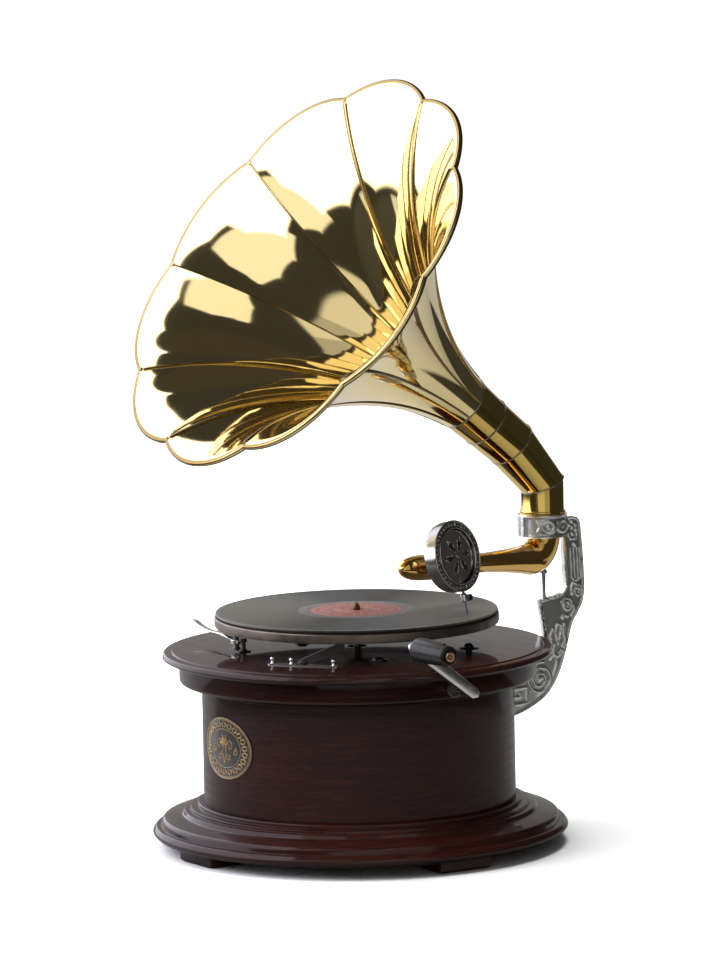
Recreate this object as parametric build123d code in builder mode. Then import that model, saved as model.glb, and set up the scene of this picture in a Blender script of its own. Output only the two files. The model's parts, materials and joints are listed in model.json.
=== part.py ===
from build123d import *

import os
from math import atan2, cos, degrees, pi, radians, sin, sqrt, tan

# A wind-up phonograph with a round wooden case and a brass horn, in millimetres.
# +Z is up, the front (with the oval badge) faces -Y and the crank leaves the case towards +X.
# The origin is on the floor, under the middle of the whole machine's bounding box. Places are
# given from the turntable spindle through level() and upright(), which add the spindle's offset.

SPINDLE_X = -34.0
SPINDLE_Y = -28.0

# Case, heights from the floor
FOOT_H = 10.6
PLINTH_TOP = 41.9
DRUM_TOP = 151.2
FRIEZE_TOP = 170.4
DECK_TOP = 179.4
PLINTH_R = 187.4
DRUM_R = 140.5
DRUM_WALL = 8.0
FRIEZE_R = 160.5
FRIEZE_BORE_R = 131.0
DECK_R = 175.6

# Bracket pad on the drum, with its screws as sideways place and height
PAD_TOP = 147.0
PAD_BOTTOM = 96.0
PAD_SCREWS = ((-13, 104), (13, 104), (-13, 139), (13, 139))
PAD_SCREW_R = 1.8

# Motor
PLATE_T = 3.0
TOP_PLATE_Z = 144.0
BOTTOM_PLATE_Z = 92.0
GEAR_MODULE = 1.0
BARREL_TEETH = 72
WHEEL_TEETH = 48
PINION_TEETH = 12
BARREL_X = 60.0
WHEEL_X = 22.8
WHEEL_Y = 19.498
FIT = 0.05
GOVERNOR_Y = -21.0
GOVERNOR_Z = 120.0
CRANK_Z = 161.0
CRANK_SHAFT_R = 4.5
BEVEL_PITCH_R = 16.0
BEVEL_TOE = 0.65
BOLT_SPOTS = ((85, 30), (85, -30), (-45, 30), (-45, -30))

# Crank arm and grip
CRANK_ARM_X = 184.0
CRANK_ARM_OUT = 10.0
CRANK_ARM_T = 8.0
GRIP_Y = -64.0
GRIP_Z = 207.0
GRIP_L = 50.0

# Turntable
SPINDLE_R = 3.6
PLATTER_R = 128.0
PLATTER_BOTTOM = 200.5
PLATTER_TOP = 209.0
RECORD_R = 127.0
RECORD_TOP = 212.3

# Tone arm: a tube hanging from the bracket's ring, bent towards the record
PIVOT_Y = 202.0
RING_BOTTOM = 261.0
RING_TOP = 282.0
ARM_TURN = 20.0
ARM_Z = 240.5
ARM_RISE = 4.4
ARM_R = 15.5
ARM_END_R = 8.4
ARM_LENGTH = 152.0
ELBOW_R = 20.0
ELBOW_REACH = ELBOW_R / tan(radians((90 - ARM_RISE) / 2))
ARM_SECTIONS = ((ELBOW_REACH, ARM_R), (36, 13.0), (60, 10.6), (98, 8.9), (138, ARM_END_R), (ARM_LENGTH, ARM_END_R))
ARM_WALL = 1.2
KNUCKLE_START = 142.0
KNUCKLE_END = 214.0
BRANCH_AT = 171.0
BOX_R = 32.3
BOX_T = 13.7
BOX_TILT = 12.0
BOX_BACK = 19.3
BOX_LIFT = 3.5

# Horn: the neck's joints, as distance in front of the pivot and height, with their radii
HORN_TURN = 2.7
HORN_WALL = 0.8
COLLAR_R = 19.5
NECK_JOINTS = ((0.0, 309.0, 20.5), (35.0, 348.5, 23.4), (63.0, 371.0, 24.3), (87.3, 390.7, 26.0))
MOUTH_SPOT = (268.3, 524.4)
BELL_L = 225.0
PETALS = 10
RIM_WIRE_R = 2.0


def level(z, x=0.0, y=0.0, turn=0.0):
    """Horizontal plane at height z, centred x, y from the spindle and turned about Z."""
    along = (cos(radians(turn)), sin(radians(turn)), 0)
    return Plane(origin=(SPINDLE_X + x, SPINDLE_Y + y, z), x_dir=along, z_dir=(0, 0, 1))


def upright(facing, x=0.0, y=0.0, z=0.0):
    """Vertical plane facing an angle about Z, with its local Y upwards."""
    nx, ny = cos(radians(facing)), sin(radians(facing))
    return Plane(origin=(SPINDLE_X + x, SPINDLE_Y + y, z), x_dir=(-ny, nx, 0), z_dir=(nx, ny, 0))


def vertical_axis(x=0.0, y=0.0):
    """Vertical axis x, y from the spindle."""
    return Axis((SPINDLE_X + x, SPINDLE_Y + y, 0), (0, 0, 1))


def gear_points(teeth, module, start=0.0, addendum=0.9, dedendum=1.15, share=0.40):
    """Outline of a spur gear whose straight flanks leave backlash; start turns the first tooth."""
    pitch_r = teeth * module / 2
    step = 2 * pi / teeth
    root_half, tip_half = step * (share + 0.10) / 2, step * (share - 0.16) / 2
    points = []
    for tooth in range(teeth):
        middle = radians(start) + tooth * step
        for radius, angle in (
            (pitch_r - dedendum * module, -root_half),
            (pitch_r + addendum * module, -tip_half),
            (pitch_r + addendum * module, tip_half),
            (pitch_r - dedendum * module, root_half),
        ):
            points.append((radius * cos(middle + angle), radius * sin(middle + angle)))
    return points


def mesh_start(driver_teeth, driven_teeth, direction):
    """First tooth of a driven gear so that it meshes with a driver whose first tooth is at 0."""
    phase = direction / (360 / driver_teeth) % 1
    return direction + 180 + (phase + 0.5) * 360 / driven_teeth


def ratchet_points(teeth=16, root_r=9.2, tip_r=10.4):
    """Saw-tooth outline of the winding ratchet."""
    points = []
    for tooth in range(teeth):
        angle = 2 * pi * tooth / teeth
        points.append((tip_r * cos(angle), tip_r * sin(angle)))
        points.append((root_r * cos(angle + 0.04), root_r * sin(angle + 0.04)))
    return points


def place(x, y, z):
    """A point given from the spindle axis, as a point of the whole machine."""
    return Vector(SPINDLE_X + x, SPINDLE_Y + y, z)


ARM_SIDE = Vector(cos(radians(ARM_TURN)), sin(radians(ARM_TURN)), 0)
ARM_FORWARD = Vector(sin(radians(ARM_TURN)), -cos(radians(ARM_TURN)), 0)
ARM_DIRECTION = ARM_FORWARD * cos(radians(ARM_RISE)) + Vector(0, 0, 1) * sin(radians(ARM_RISE))
BOX_DIRECTION = ARM_SIDE * cos(radians(BOX_TILT)) + Vector(0, 0, 1) * sin(radians(BOX_TILT))
HORN_SIDE = Vector(cos(radians(HORN_TURN)), sin(radians(HORN_TURN)), 0)
HORN_FORWARD = Vector(sin(radians(HORN_TURN)), -cos(radians(HORN_TURN)), 0)


def arm_plane(along):
    """Plane across the tone arm, a distance along it from the pivot."""
    origin = place(0, PIVOT_Y, ARM_Z) + ARM_DIRECTION * along
    return Plane(origin, x_dir=ARM_SIDE, z_dir=ARM_DIRECTION)


def box_plane(out):
    """Plane parallel to the sound box's face, a distance out from the knuckle's middle."""
    origin = arm_plane(BRANCH_AT).origin + Vector(0, 0, BOX_LIFT) + BOX_DIRECTION * out
    return Plane(origin, x_dir=-ARM_FORWARD, z_dir=BOX_DIRECTION)


def horn_plane(forward, height, slope):
    """Plane across the horn; slope is its normal's angle above the horizontal."""
    normal = HORN_FORWARD * cos(radians(slope)) + Vector(0, 0, 1) * sin(radians(slope))
    origin = place(0, PIVOT_Y, height) + HORN_FORWARD * forward
    return Plane(origin, x_dir=HORN_SIDE, z_dir=normal)


def bell_radius(along):
    """Radius of the bell at a distance from its small end."""
    return NECK_JOINTS[-1][2] + 0.15 * along + 0.00229 * along**2 + 17.5 * (along / BELL_L) ** 10


SPINDLE = vertical_axis()
SECTION = upright(-90)

# Meshing: each driven gear has a gap facing its driver's tooth, or a tooth facing a gap.
BEVEL_BACK_Z = 150.0
BEVEL_HEEL_Z = CRANK_Z - BEVEL_PITCH_R / 2
BEVEL_BORE_R = 3.0
BEVEL_WHEEL = gear_points(32, 1.0, 0, 1.6, 2.3, 0.38)
BEVEL_PINION = gear_points(16, 1.0, 11.25, 0.8, 1.15, 0.38)
TO_WHEEL = degrees(atan2(WHEEL_Y, WHEEL_X - BARREL_X))
TO_SPINDLE = degrees(atan2(-WHEEL_Y, -WHEEL_X))
WHEEL_PINION_START = mesh_start(BARREL_TEETH, PINION_TEETH, TO_WHEEL)
SPINDLE_PINION_START = mesh_start(WHEEL_TEETH, PINION_TEETH, TO_SPINDLE)

# ---------------------------------------------------------------- wooden case

with BuildPart() as base_plinth:
    with BuildSketch(SECTION):
        with BuildLine():
            Polyline((118, PLINTH_TOP), (118, 17), (126, 17), (126, FOOT_H), (183.5, FOOT_H))
            ThreePointArc((183.5, FOOT_H), (PLINTH_R, 15.5), (183.5, 20.2))
            Line((183.5, 20.2), (179.5, 20.8))
            ThreePointArc((179.5, 20.8), (175.3, 26.4), (168, 29.4))
            ThreePointArc((168, 29.4), (162, 30.8), (158, 33))
            Polyline((158, 33), (158, 34.8), (153, 35.6), (153, 37.6), (147, 38.4))
            ThreePointArc((147, 38.4), (145.6, 40.8), (143, PLINTH_TOP))
            Line((143, PLINTH_TOP), (118, PLINTH_TOP))
        make_face()
    revolve(axis=SPINDLE)
    with BuildSketch(level(17)):
        with PolarLocations(122, 6, start_angle=30):
            Circle(1.6)
    extrude(amount=12, mode=Mode.SUBTRACT)

with BuildPart(level(0)) as feet:
    with PolarLocations(158, 4):
        Box(34, 55, FOOT_H, align=(Align.CENTER, Align.CENTER, Align.MIN))
    chamfer(feet.edges().filter_by(Axis.Z), length=5)
    chamfer(feet.faces().group_by(Axis.Z)[0].edges(), length=1.2)

with BuildPart() as bottom_board:
    with BuildSketch(level(11)):
        Circle(125.9)
        with PolarLocations(122, 6, start_angle=30):
            Circle(1.6, mode=Mode.SUBTRACT)
    extrude(amount=6)

with BuildPart() as base_screws:
    with BuildSketch(level(8.8)):
        with PolarLocations(122, 6, start_angle=30):
            Circle(3.2)
    extrude(amount=2.2)
    with BuildSketch(level(11)):
        with PolarLocations(122, 6, start_angle=30):
            Circle(1.6)
    extrude(amount=16)

with BuildPart() as case_drum:
    with BuildSketch(level(PLINTH_TOP)):
        Circle(DRUM_R)
        Circle(DRUM_R - DRUM_WALL, mode=Mode.SUBTRACT)
    extrude(amount=DRUM_TOP - PLINTH_TOP)
    with BuildSketch(upright(90, y=DRUM_R - 12)):
        with Locations(*PAD_SCREWS):
            Circle(PAD_SCREW_R)
    extrude(amount=14, mode=Mode.SUBTRACT)

with BuildPart() as frieze_ring:
    with BuildSketch(SECTION):
        with BuildLine():
            Polyline(
                (FRIEZE_BORE_R, DRUM_TOP),
                (FRIEZE_R - 1.5, DRUM_TOP),
                (FRIEZE_R, DRUM_TOP + 1.5),
                (FRIEZE_R, FRIEZE_TOP),
                (FRIEZE_BORE_R, FRIEZE_TOP),
                close=True,
            )
        make_face()
    revolve(axis=SPINDLE)
    with BuildSketch(upright(0, x=FRIEZE_BORE_R - 5)):
        with Locations((0, CRANK_Z)):
            Circle(7)
    extrude(amount=FRIEZE_R - FRIEZE_BORE_R + 10, mode=Mode.SUBTRACT)

KNOB_SPOT = (104, 52)
with BuildPart() as deck_board:
    with BuildSketch(SECTION):
        with BuildLine():
            Polyline((9, DECK_TOP), (9, FRIEZE_TOP), (171.5, FRIEZE_TOP), (DECK_R, 171.6))
            ThreePointArc((DECK_R, 171.6), (173.3, 176.4), (168, 178.4))
            Polyline((168, 178.4), (167, 178.4), (167, DECK_TOP), (9, DECK_TOP))
        make_face()
    revolve(axis=SPINDLE)
    with BuildSketch(level(FRIEZE_TOP)):
        with Locations(*BOLT_SPOTS):
            Circle(2.5 + FIT)
        with Locations(KNOB_SPOT):
            Circle(3 + FIT)
    extrude(amount=DECK_TOP - FRIEZE_TOP, mode=Mode.SUBTRACT)

BADGE_Z = 101
with BuildPart() as front_badge:
    with BuildSketch(level(BADGE_Z - 30)):
        Circle(DRUM_R + 1.2)
        Circle(DRUM_R, mode=Mode.SUBTRACT)
    extrude(amount=60)
    with BuildSketch(upright(-90, y=-DRUM_R - 5, z=BADGE_Z)):
        Ellipse(39, 27.75)
    extrude(amount=-30, mode=Mode.INTERSECT)

with BuildPart() as crank_bush:
    with BuildSketch(upright(0, x=FRIEZE_BORE_R, z=CRANK_Z)):
        Circle(7)
    extrude(amount=FRIEZE_R + 0.5 - FRIEZE_BORE_R)
    with BuildSketch(upright(0, x=FRIEZE_R + 0.5, z=CRANK_Z)):
        Circle(9)
    extrude(amount=1.6)
    with BuildSketch(upright(0, x=FRIEZE_BORE_R - 1, z=CRANK_Z)):
        Circle(CRANK_SHAFT_R + FIT)
    extrude(amount=FRIEZE_R - FRIEZE_BORE_R + 6, mode=Mode.SUBTRACT)

# ---------------------------------------------------------------- motor frame

PLATE_X = 20
PLATE_SIZE = (172, 94)
ARBOR_R = 3.0
WHEEL_ARBOR_R = 3.0
PILLAR_SPOTS = ((96, 39), (96, -39), (-58, 39), (-58, -39))

with BuildPart() as motor_top_plate:
    with BuildSketch(level(TOP_PLATE_Z)):
        with Locations((PLATE_X, 0)):
            RectangleRounded(*PLATE_SIZE, 12)
        Circle(SPINDLE_R + FIT, mode=Mode.SUBTRACT)
        with Locations((BARREL_X, 0)):
            Circle(ARBOR_R + FIT, mode=Mode.SUBTRACT)
        with Locations((WHEEL_X, WHEEL_Y)):
            Circle(2 + FIT, mode=Mode.SUBTRACT)
        with Locations(*BOLT_SPOTS):
            Circle(2.5, mode=Mode.SUBTRACT)
        with Locations((BARREL_X, 21)):
            Circle(1.5, mode=Mode.SUBTRACT)
    extrude(amount=PLATE_T)

with BuildPart() as motor_bottom_plate:
    with BuildSketch(level(BOTTOM_PLATE_Z)):
        with Locations((PLATE_X, 0)):
            RectangleRounded(*PLATE_SIZE, 12)
        with Locations((BARREL_X, 0)):
            Circle(ARBOR_R + FIT, mode=Mode.SUBTRACT)
        with Locations((WHEEL_X, WHEEL_Y)):
            Circle(2 + FIT, mode=Mode.SUBTRACT)
    extrude(amount=PLATE_T)
    with BuildSketch(level(BOTTOM_PLATE_Z - 6)):
        Circle(8)
    extrude(amount=6)
    with BuildSketch(level(BOTTOM_PLATE_Z - 4)):
        Circle(SPINDLE_R + FIT)
    extrude(amount=4 + PLATE_T, mode=Mode.SUBTRACT)

with BuildPart() as motor_pillars:
    with BuildSketch(level(BOTTOM_PLATE_Z + PLATE_T)):
        with Locations(*PILLAR_SPOTS):
            Circle(4)
    extrude(amount=TOP_PLATE_Z - BOTTOM_PLATE_Z - PLATE_T)

with BuildPart() as motor_spacers:
    with BuildSketch(level(TOP_PLATE_Z + PLATE_T)):
        with Locations(*BOLT_SPOTS):
            Circle(5.5)
            Circle(2.6, mode=Mode.SUBTRACT)
    extrude(amount=FRIEZE_TOP - TOP_PLATE_Z - PLATE_T)

with BuildPart() as motor_bolts:
    with BuildSketch(level(TOP_PLATE_Z)):
        with Locations(*BOLT_SPOTS):
            Circle(2.5)
    extrude(amount=DECK_TOP - TOP_PLATE_Z)
    with BuildSketch(level(DECK_TOP)):
        with Locations(*BOLT_SPOTS):
            Circle(5)
    extrude(amount=3.2)
    with BuildSketch(level(DECK_TOP + 2)):
        with Locations(*BOLT_SPOTS):
            Rectangle(12, 1.2)
    extrude(amount=2, mode=Mode.SUBTRACT)
    head_tops = motor_bolts.faces().filter_by(Axis.Z).group_by(Axis.Z)[-1]
    fillet(head_tops.edges().filter_by(GeomType.CIRCLE), radius=1)

with BuildPart() as winding_bracket:
    with BuildSketch(level(TOP_PLATE_Z + PLATE_T, x=80)):
        Rectangle(14, 22, align=(Align.MIN, Align.CENTER))
    extrude(amount=2)
    with BuildSketch(upright(0, x=80)):
        with Locations((0, TOP_PLATE_Z + PLATE_T)):
            Rectangle(16, 20.5, align=(Align.CENTER, Align.MIN))
    extrude(amount=4)
    with BuildSketch(upright(0, x=78, z=CRANK_Z)):
        Circle(CRANK_SHAFT_R + FIT)
    extrude(amount=8, mode=Mode.SUBTRACT)

with BuildPart() as governor_bearings:
    for bearing_x in (-61, 13):
        with BuildSketch(level(BOTTOM_PLATE_Z + PLATE_T, x=bearing_x, y=GOVERNOR_Y)):
            Rectangle(3, 9, align=(Align.MIN, Align.CENTER))
        extrude(amount=GOVERNOR_Z + 6 - BOTTOM_PLATE_Z - PLATE_T)
    with BuildSketch(upright(0, x=-65, y=GOVERNOR_Y, z=GOVERNOR_Z)):
        Circle(2 + FIT)
    extrude(amount=90, mode=Mode.SUBTRACT)

RATCHET_Z = TOP_PLATE_Z + PLATE_T + 0.5
CLICK_SPOT = (BARREL_X, 21)
with BuildPart() as ratchet_click:
    with BuildSketch(level(RATCHET_Z)):
        with BuildLine():
            Polyline((57.6, 21), (53.6, 11.9), (55.4, 10.9), (62.4, 21), close=True)
        make_face()
        with Locations(CLICK_SPOT):
            Circle(3)
    extrude(amount=2)
    with BuildSketch(level(TOP_PLATE_Z)):
        with Locations(CLICK_SPOT):
            Circle(1.5 - FIT)
    extrude(amount=RATCHET_Z - TOP_PLATE_Z)

# ---------------------------------------------------------------- spring barrel and its arbor

BARREL_Z = 108.0
BARREL_H = 30.0
BARREL_R = 32.0
GEAR_T = 4.0
BARREL_AXIS = vertical_axis(BARREL_X, 0)

with BuildPart() as mainspring_barrel:
    with BuildSketch(level(BARREL_Z, x=BARREL_X)):
        with BuildLine():
            Polyline(*gear_points(BARREL_TEETH, GEAR_MODULE), close=True)
        make_face()
    extrude(amount=GEAR_T)
    with BuildSketch(level(BARREL_Z, x=BARREL_X)):
        Circle(BARREL_R)
    extrude(amount=BARREL_H)
    with BuildSketch(level(BARREL_Z + GEAR_T, x=BARREL_X)):
        Circle(BARREL_R - 1.5)
    extrude(amount=BARREL_H, mode=Mode.SUBTRACT)
    with BuildSketch(level(BARREL_Z, x=BARREL_X)):
        Circle(ARBOR_R + FIT)
    extrude(amount=BARREL_H, mode=Mode.SUBTRACT)

with BuildPart() as barrel_cover:
    with BuildSketch(level(BARREL_Z + BARREL_H - 1.6, x=BARREL_X)):
        Circle(BARREL_R - 1.5)
        Circle(ARBOR_R + FIT, mode=Mode.SUBTRACT)
    extrude(amount=1.6)

SPRING_HALF_TURNS = 14
SPRING_START_R = 10.0
SPRING_PITCH = 2.6
SPRING_T = 0.8
with BuildPart() as mainspring:
    with BuildSketch(level(BARREL_Z + GEAR_T + 1, x=BARREL_X)):
        with BuildLine():
            for edge in (0, SPRING_T):
                for half in range(SPRING_HALF_TURNS):
                    side = 1 if half % 2 == 0 else -1
                    low = SPRING_START_R + edge + half * SPRING_PITCH / 2
                    high = low + SPRING_PITCH / 2
                    top = (side * (low - high) / 2, side * (low + high) / 2)
                    ThreePointArc((side * low, 0), top, (-side * high, 0))
            for radius in (SPRING_START_R, SPRING_START_R + SPRING_HALF_TURNS * SPRING_PITCH / 2):
                Line((radius, 0), (radius + SPRING_T, 0))
        make_face()
    extrude(amount=20)

with BuildPart() as barrel_arbor:
    for low, high, radius in (
        (BOTTOM_PLATE_Z, BEVEL_BACK_Z + 3, ARBOR_R),
        (BARREL_Z + GEAR_T + 0.2, BARREL_Z + BARREL_H - 2, 8),
        (BOTTOM_PLATE_Z + PLATE_T + 0.1, BARREL_Z - 0.2, 5),
        (BARREL_Z + BARREL_H + 0.2, TOP_PLATE_Z - 0.1, 5),
    ):
        with BuildSketch(level(low, x=BARREL_X)):
            Circle(radius)
        extrude(amount=high - low)

with BuildPart() as ratchet_wheel:
    with BuildSketch(level(RATCHET_Z, x=BARREL_X)):
        with BuildLine():
            Polyline(*ratchet_points(), close=True)
        make_face()
        Circle(ARBOR_R, mode=Mode.SUBTRACT)
    extrude(amount=2)

# ---------------------------------------------------------------- winding bevel gears

with BuildPart() as bevel_wheel:
    for height, size in ((BEVEL_HEEL_Z, 1.0), (CRANK_Z - BEVEL_PITCH_R / 2 * BEVEL_TOE, BEVEL_TOE)):
        with BuildSketch(level(height, x=BARREL_X)):
            with BuildLine():
                Polyline(*[(x * size, y * size) for x, y in BEVEL_WHEEL], close=True)
            make_face()
    loft()
    with BuildSketch(level(BEVEL_BACK_Z, x=BARREL_X)):
        Circle(12)
    extrude(amount=BEVEL_HEEL_Z - BEVEL_BACK_Z)
    with BuildSketch(level(BEVEL_BACK_Z, x=BARREL_X)):
        Circle(ARBOR_R)
    extrude(amount=20, mode=Mode.SUBTRACT)

with BuildPart() as bevel_pinion:
    for along, size in ((BEVEL_PITCH_R, 1.0), (BEVEL_PITCH_R * BEVEL_TOE, BEVEL_TOE)):
        with BuildSketch(upright(0, x=BARREL_X + along, z=CRANK_Z)):
            with BuildLine():
                Polyline(*[(x * size, y * size) for x, y in BEVEL_PINION], close=True)
            make_face()
    loft()
    with BuildSketch(upright(0, x=BARREL_X + BEVEL_PITCH_R, z=CRANK_Z)):
        Circle(6.5)
    extrude(amount=3)
    with BuildSketch(upright(0, x=BARREL_X, z=CRANK_Z)):
        Circle(BEVEL_BORE_R)
    extrude(amount=30, mode=Mode.SUBTRACT)

with BuildPart() as crank_shaft:
    with BuildSketch(upright(0, x=BARREL_X + BEVEL_PITCH_R * BEVEL_TOE, z=CRANK_Z)):
        Circle(BEVEL_BORE_R)
    extrude(amount=BEVEL_PITCH_R * (1 - BEVEL_TOE) + 3)
    with BuildSketch(upright(0, x=BARREL_X + BEVEL_PITCH_R + 3, z=CRANK_Z)):
        Circle(CRANK_SHAFT_R)
    extrude(amount=CRANK_ARM_X + CRANK_ARM_T - BARREL_X - BEVEL_PITCH_R - 3)

# ---------------------------------------------------------------- crank arm and grip

# The arm leans outwards, from the shaft to the grip, so that the hand clears the case
CRANK_RUN = Vector(CRANK_ARM_OUT, GRIP_Y, GRIP_Z - CRANK_Z)
CRANK_NORMAL = Vector(1, 0, 0) - CRANK_RUN * (CRANK_ARM_OUT / CRANK_RUN.length**2)
CRANK_FOOT = place(CRANK_ARM_X + CRANK_ARM_T / 2, 0, CRANK_Z)
CRANK_BOLT_L = 40.0
RIVET_R = 2.5
RIVET_START = CRANK_ARM_X + CRANK_ARM_OUT
GRIP_START = RIVET_START + CRANK_ARM_T + 1.2

with BuildPart() as crank_arm:
    with BuildSketch(Plane(CRANK_FOOT, x_dir=CRANK_RUN, z_dir=CRANK_NORMAL)):
        with Locations((CRANK_RUN.length / 2, 0)):
            SlotCenterToCenter(CRANK_RUN.length, 11)
    extrude(amount=CRANK_ARM_T / 2, both=True)
    fillet(crank_arm.faces().filter_by(GeomType.PLANE).sort_by(Axis.X)[-1].edges(), radius=2.4)
    fillet(crank_arm.faces().filter_by(GeomType.PLANE).sort_by(Axis.X)[0].edges(), radius=2.4)
    with BuildSketch(upright(0, x=CRANK_ARM_X - CRANK_BOLT_L / 2)):
        with Locations((0, CRANK_Z)):
            Circle(CRANK_SHAFT_R)
        with Locations((GRIP_Y, GRIP_Z)):
            Circle(RIVET_R)
    extrude(amount=CRANK_BOLT_L, mode=Mode.SUBTRACT)

GRIP_AXIS_PLANE = upright(0, x=GRIP_START, y=GRIP_Y, z=GRIP_Z)
with BuildPart() as crank_grip:
    with BuildSketch(Plane(GRIP_AXIS_PLANE.origin, x_dir=(1, 0, 0), z_dir=(0, -1, 0))):
        with BuildLine():
            Polyline((GRIP_L, 4.5), (GRIP_L, RIVET_R + FIT), (0, RIVET_R + FIT), (0, 8.5))
            ThreePointArc((0, 8.5), (0.9, 10.2), (3, 10.8))
            Spline((3, 10.8), (16, 10.7), (34, 9.8), (GRIP_L - 3, 9.0))
            ThreePointArc((GRIP_L - 3, 9.0), (GRIP_L - 0.8, 7.6), (GRIP_L, 4.5))
        make_face()
    revolve(axis=Axis(GRIP_AXIS_PLANE.origin, (1, 0, 0)))

with BuildPart() as grip_rivet:
    with BuildSketch(upright(0, x=RIVET_START, y=GRIP_Y, z=GRIP_Z)):
        Circle(RIVET_R)
    extrude(amount=GRIP_START + GRIP_L + 0.3 - RIVET_START)
    with BuildSketch(upright(0, x=GRIP_START + GRIP_L + 0.3, y=GRIP_Y, z=GRIP_Z)):
        Circle(4.6)
    extrude(amount=1.8)
    fillet(grip_rivet.faces().sort_by(Axis.X)[-1].edges(), radius=1)

# ---------------------------------------------------------------- play train

WHEEL_Z = 99.0
WHEEL_T = 3.0

with BuildPart() as intermediate_arbor:
    with BuildSketch(level(BOTTOM_PLATE_Z, x=WHEEL_X, y=WHEEL_Y)):
        Circle(2)
    extrude(amount=TOP_PLATE_Z + PLATE_T - BOTTOM_PLATE_Z)
    with BuildSketch(level(BOTTOM_PLATE_Z + PLATE_T + 0.1, x=WHEEL_X, y=WHEEL_Y)):
        Circle(WHEEL_ARBOR_R)
    extrude(amount=TOP_PLATE_Z - BOTTOM_PLATE_Z - PLATE_T - 0.2)
    with BuildSketch(level(BARREL_Z - 0.5, x=WHEEL_X, y=WHEEL_Y)):
        with BuildLine():
            Polyline(*gear_points(PINION_TEETH, GEAR_MODULE, WHEEL_PINION_START), close=True)
        make_face()
    extrude(amount=GEAR_T + 1)

with BuildPart() as intermediate_wheel:
    with BuildSketch(level(WHEEL_Z, x=WHEEL_X, y=WHEEL_Y)):
        with BuildLine():
            Polyline(*gear_points(WHEEL_TEETH, GEAR_MODULE), close=True)
        make_face()
        Circle(WHEEL_ARBOR_R, mode=Mode.SUBTRACT)
        with PolarLocations(13, 5):
            Circle(5, mode=Mode.SUBTRACT)
    extrude(amount=WHEEL_T)

with BuildPart() as spindle:
    with BuildSketch(level(BOTTOM_PLATE_Z - 3.9)):
        Circle(SPINDLE_R)
    extrude(amount=RECORD_TOP + 3.5 - BOTTOM_PLATE_Z + 3.9)
    with BuildSketch(level(RECORD_TOP + 3.5)):
        Circle(SPINDLE_R)
    extrude(amount=5, taper=32)
    with BuildSketch(level(WHEEL_Z - 1)):
        with BuildLine():
            Polyline(*gear_points(PINION_TEETH, GEAR_MODULE, SPINDLE_PINION_START), close=True)
        make_face()
    extrude(amount=WHEEL_T + 2)

with BuildPart() as worm_wheel:
    with BuildSketch(level(GOVERNOR_Z - 3)):
        with BuildLine():
            Polyline(*gear_points(40, 0.76, share=0.5), close=True)
        make_face()
        Circle(SPINDLE_R, mode=Mode.SUBTRACT)
    extrude(amount=6)
    with BuildSketch(level(GOVERNOR_Z + 3)):
        Circle(8)
        Circle(SPINDLE_R, mode=Mode.SUBTRACT)
    extrude(amount=5)

# ---------------------------------------------------------------- governor

WORM_L = 14.0
WORM_STARTS = 4
with BuildPart() as governor_shaft:
    with BuildSketch(upright(0, x=-61.5, y=GOVERNOR_Y, z=GOVERNOR_Z)):
        Circle(2)
    extrude(amount=78.5)
    with BuildSketch(upright(0, x=-54, y=GOVERNOR_Y, z=GOVERNOR_Z)):
        Circle(7.6)
    extrude(amount=5)
    for step in range(5):
        with BuildSketch(upright(0, x=-WORM_L / 2 + step * WORM_L / 4, y=GOVERNOR_Y, z=GOVERNOR_Z)):
            with BuildLine():
                Polyline(*gear_points(WORM_STARTS, 2.0, 22.5 * step, 0.42, 0.35, 0.5), close=True)
            make_face()
    loft()

with BuildPart() as friction_disc:
    with BuildSketch(upright(0, x=-25, y=GOVERNOR_Y, z=GOVERNOR_Z)):
        Circle(7.6)
    extrude(amount=5)
    with BuildSketch(upright(0, x=-20, y=GOVERNOR_Y, z=GOVERNOR_Z)):
        Circle(12)
    extrude(amount=2)
    with BuildSketch(upright(0, x=-26, y=GOVERNOR_Y, z=GOVERNOR_Z)):
        Circle(2)
    extrude(amount=10, mode=Mode.SUBTRACT)

with BuildPart(upright(0, x=-54, y=GOVERNOR_Y, z=GOVERNOR_Z)) as governor_springs:
    with PolarLocations(7.6, 3):
        Box(0.5, 5, 34, align=(Align.MIN, Align.CENTER, Align.MIN))

with BuildPart(upright(0, x=-42, y=GOVERNOR_Y, z=GOVERNOR_Z)) as governor_weights:
    with PolarLocations(8.1, 3):
        Box(5.5, 8, 9, align=(Align.MIN, Align.CENTER, Align.MIN))

# ---------------------------------------------------------------- turntable

with BuildPart() as turntable_platter:
    with BuildSketch(SECTION):
        with BuildLine():
            Polyline(
                (SPINDLE_R, 193),
                (14, 193),
                (14, 203),
                (18, PLATTER_TOP - 2),
                (PLATTER_R - 1.6, PLATTER_TOP - 2),
                (PLATTER_R - 1.6, PLATTER_BOTTOM),
                (PLATTER_R, PLATTER_BOTTOM),
                (PLATTER_R, PLATTER_TOP),
                (SPINDLE_R, PLATTER_TOP),
                close=True,
            )
        make_face()
    revolve(axis=SPINDLE)
    rim_edges = turntable_platter.edges().filter_by(GeomType.CIRCLE).group_by(SortBy.RADIUS)[-1]
    fillet(rim_edges.sort_by(Axis.Z)[-1], radius=1)

with BuildPart() as turntable_felt:
    with BuildSketch(level(PLATTER_TOP)):
        Circle(PLATTER_R - 3)
        Circle(SPINDLE_R, mode=Mode.SUBTRACT)
    extrude(amount=RECORD_TOP - 2 - PLATTER_TOP)

with BuildPart() as record:
    with BuildSketch(level(RECORD_TOP - 2)):
        Circle(RECORD_R)
        Circle(SPINDLE_R + 0.03, mode=Mode.SUBTRACT)
    extrude(amount=2)
    fillet(record.edges().filter_by(GeomType.CIRCLE).group_by(SortBy.RADIUS)[-1], radius=0.8)

# ---------------------------------------------------------------- controls on the deck

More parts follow.
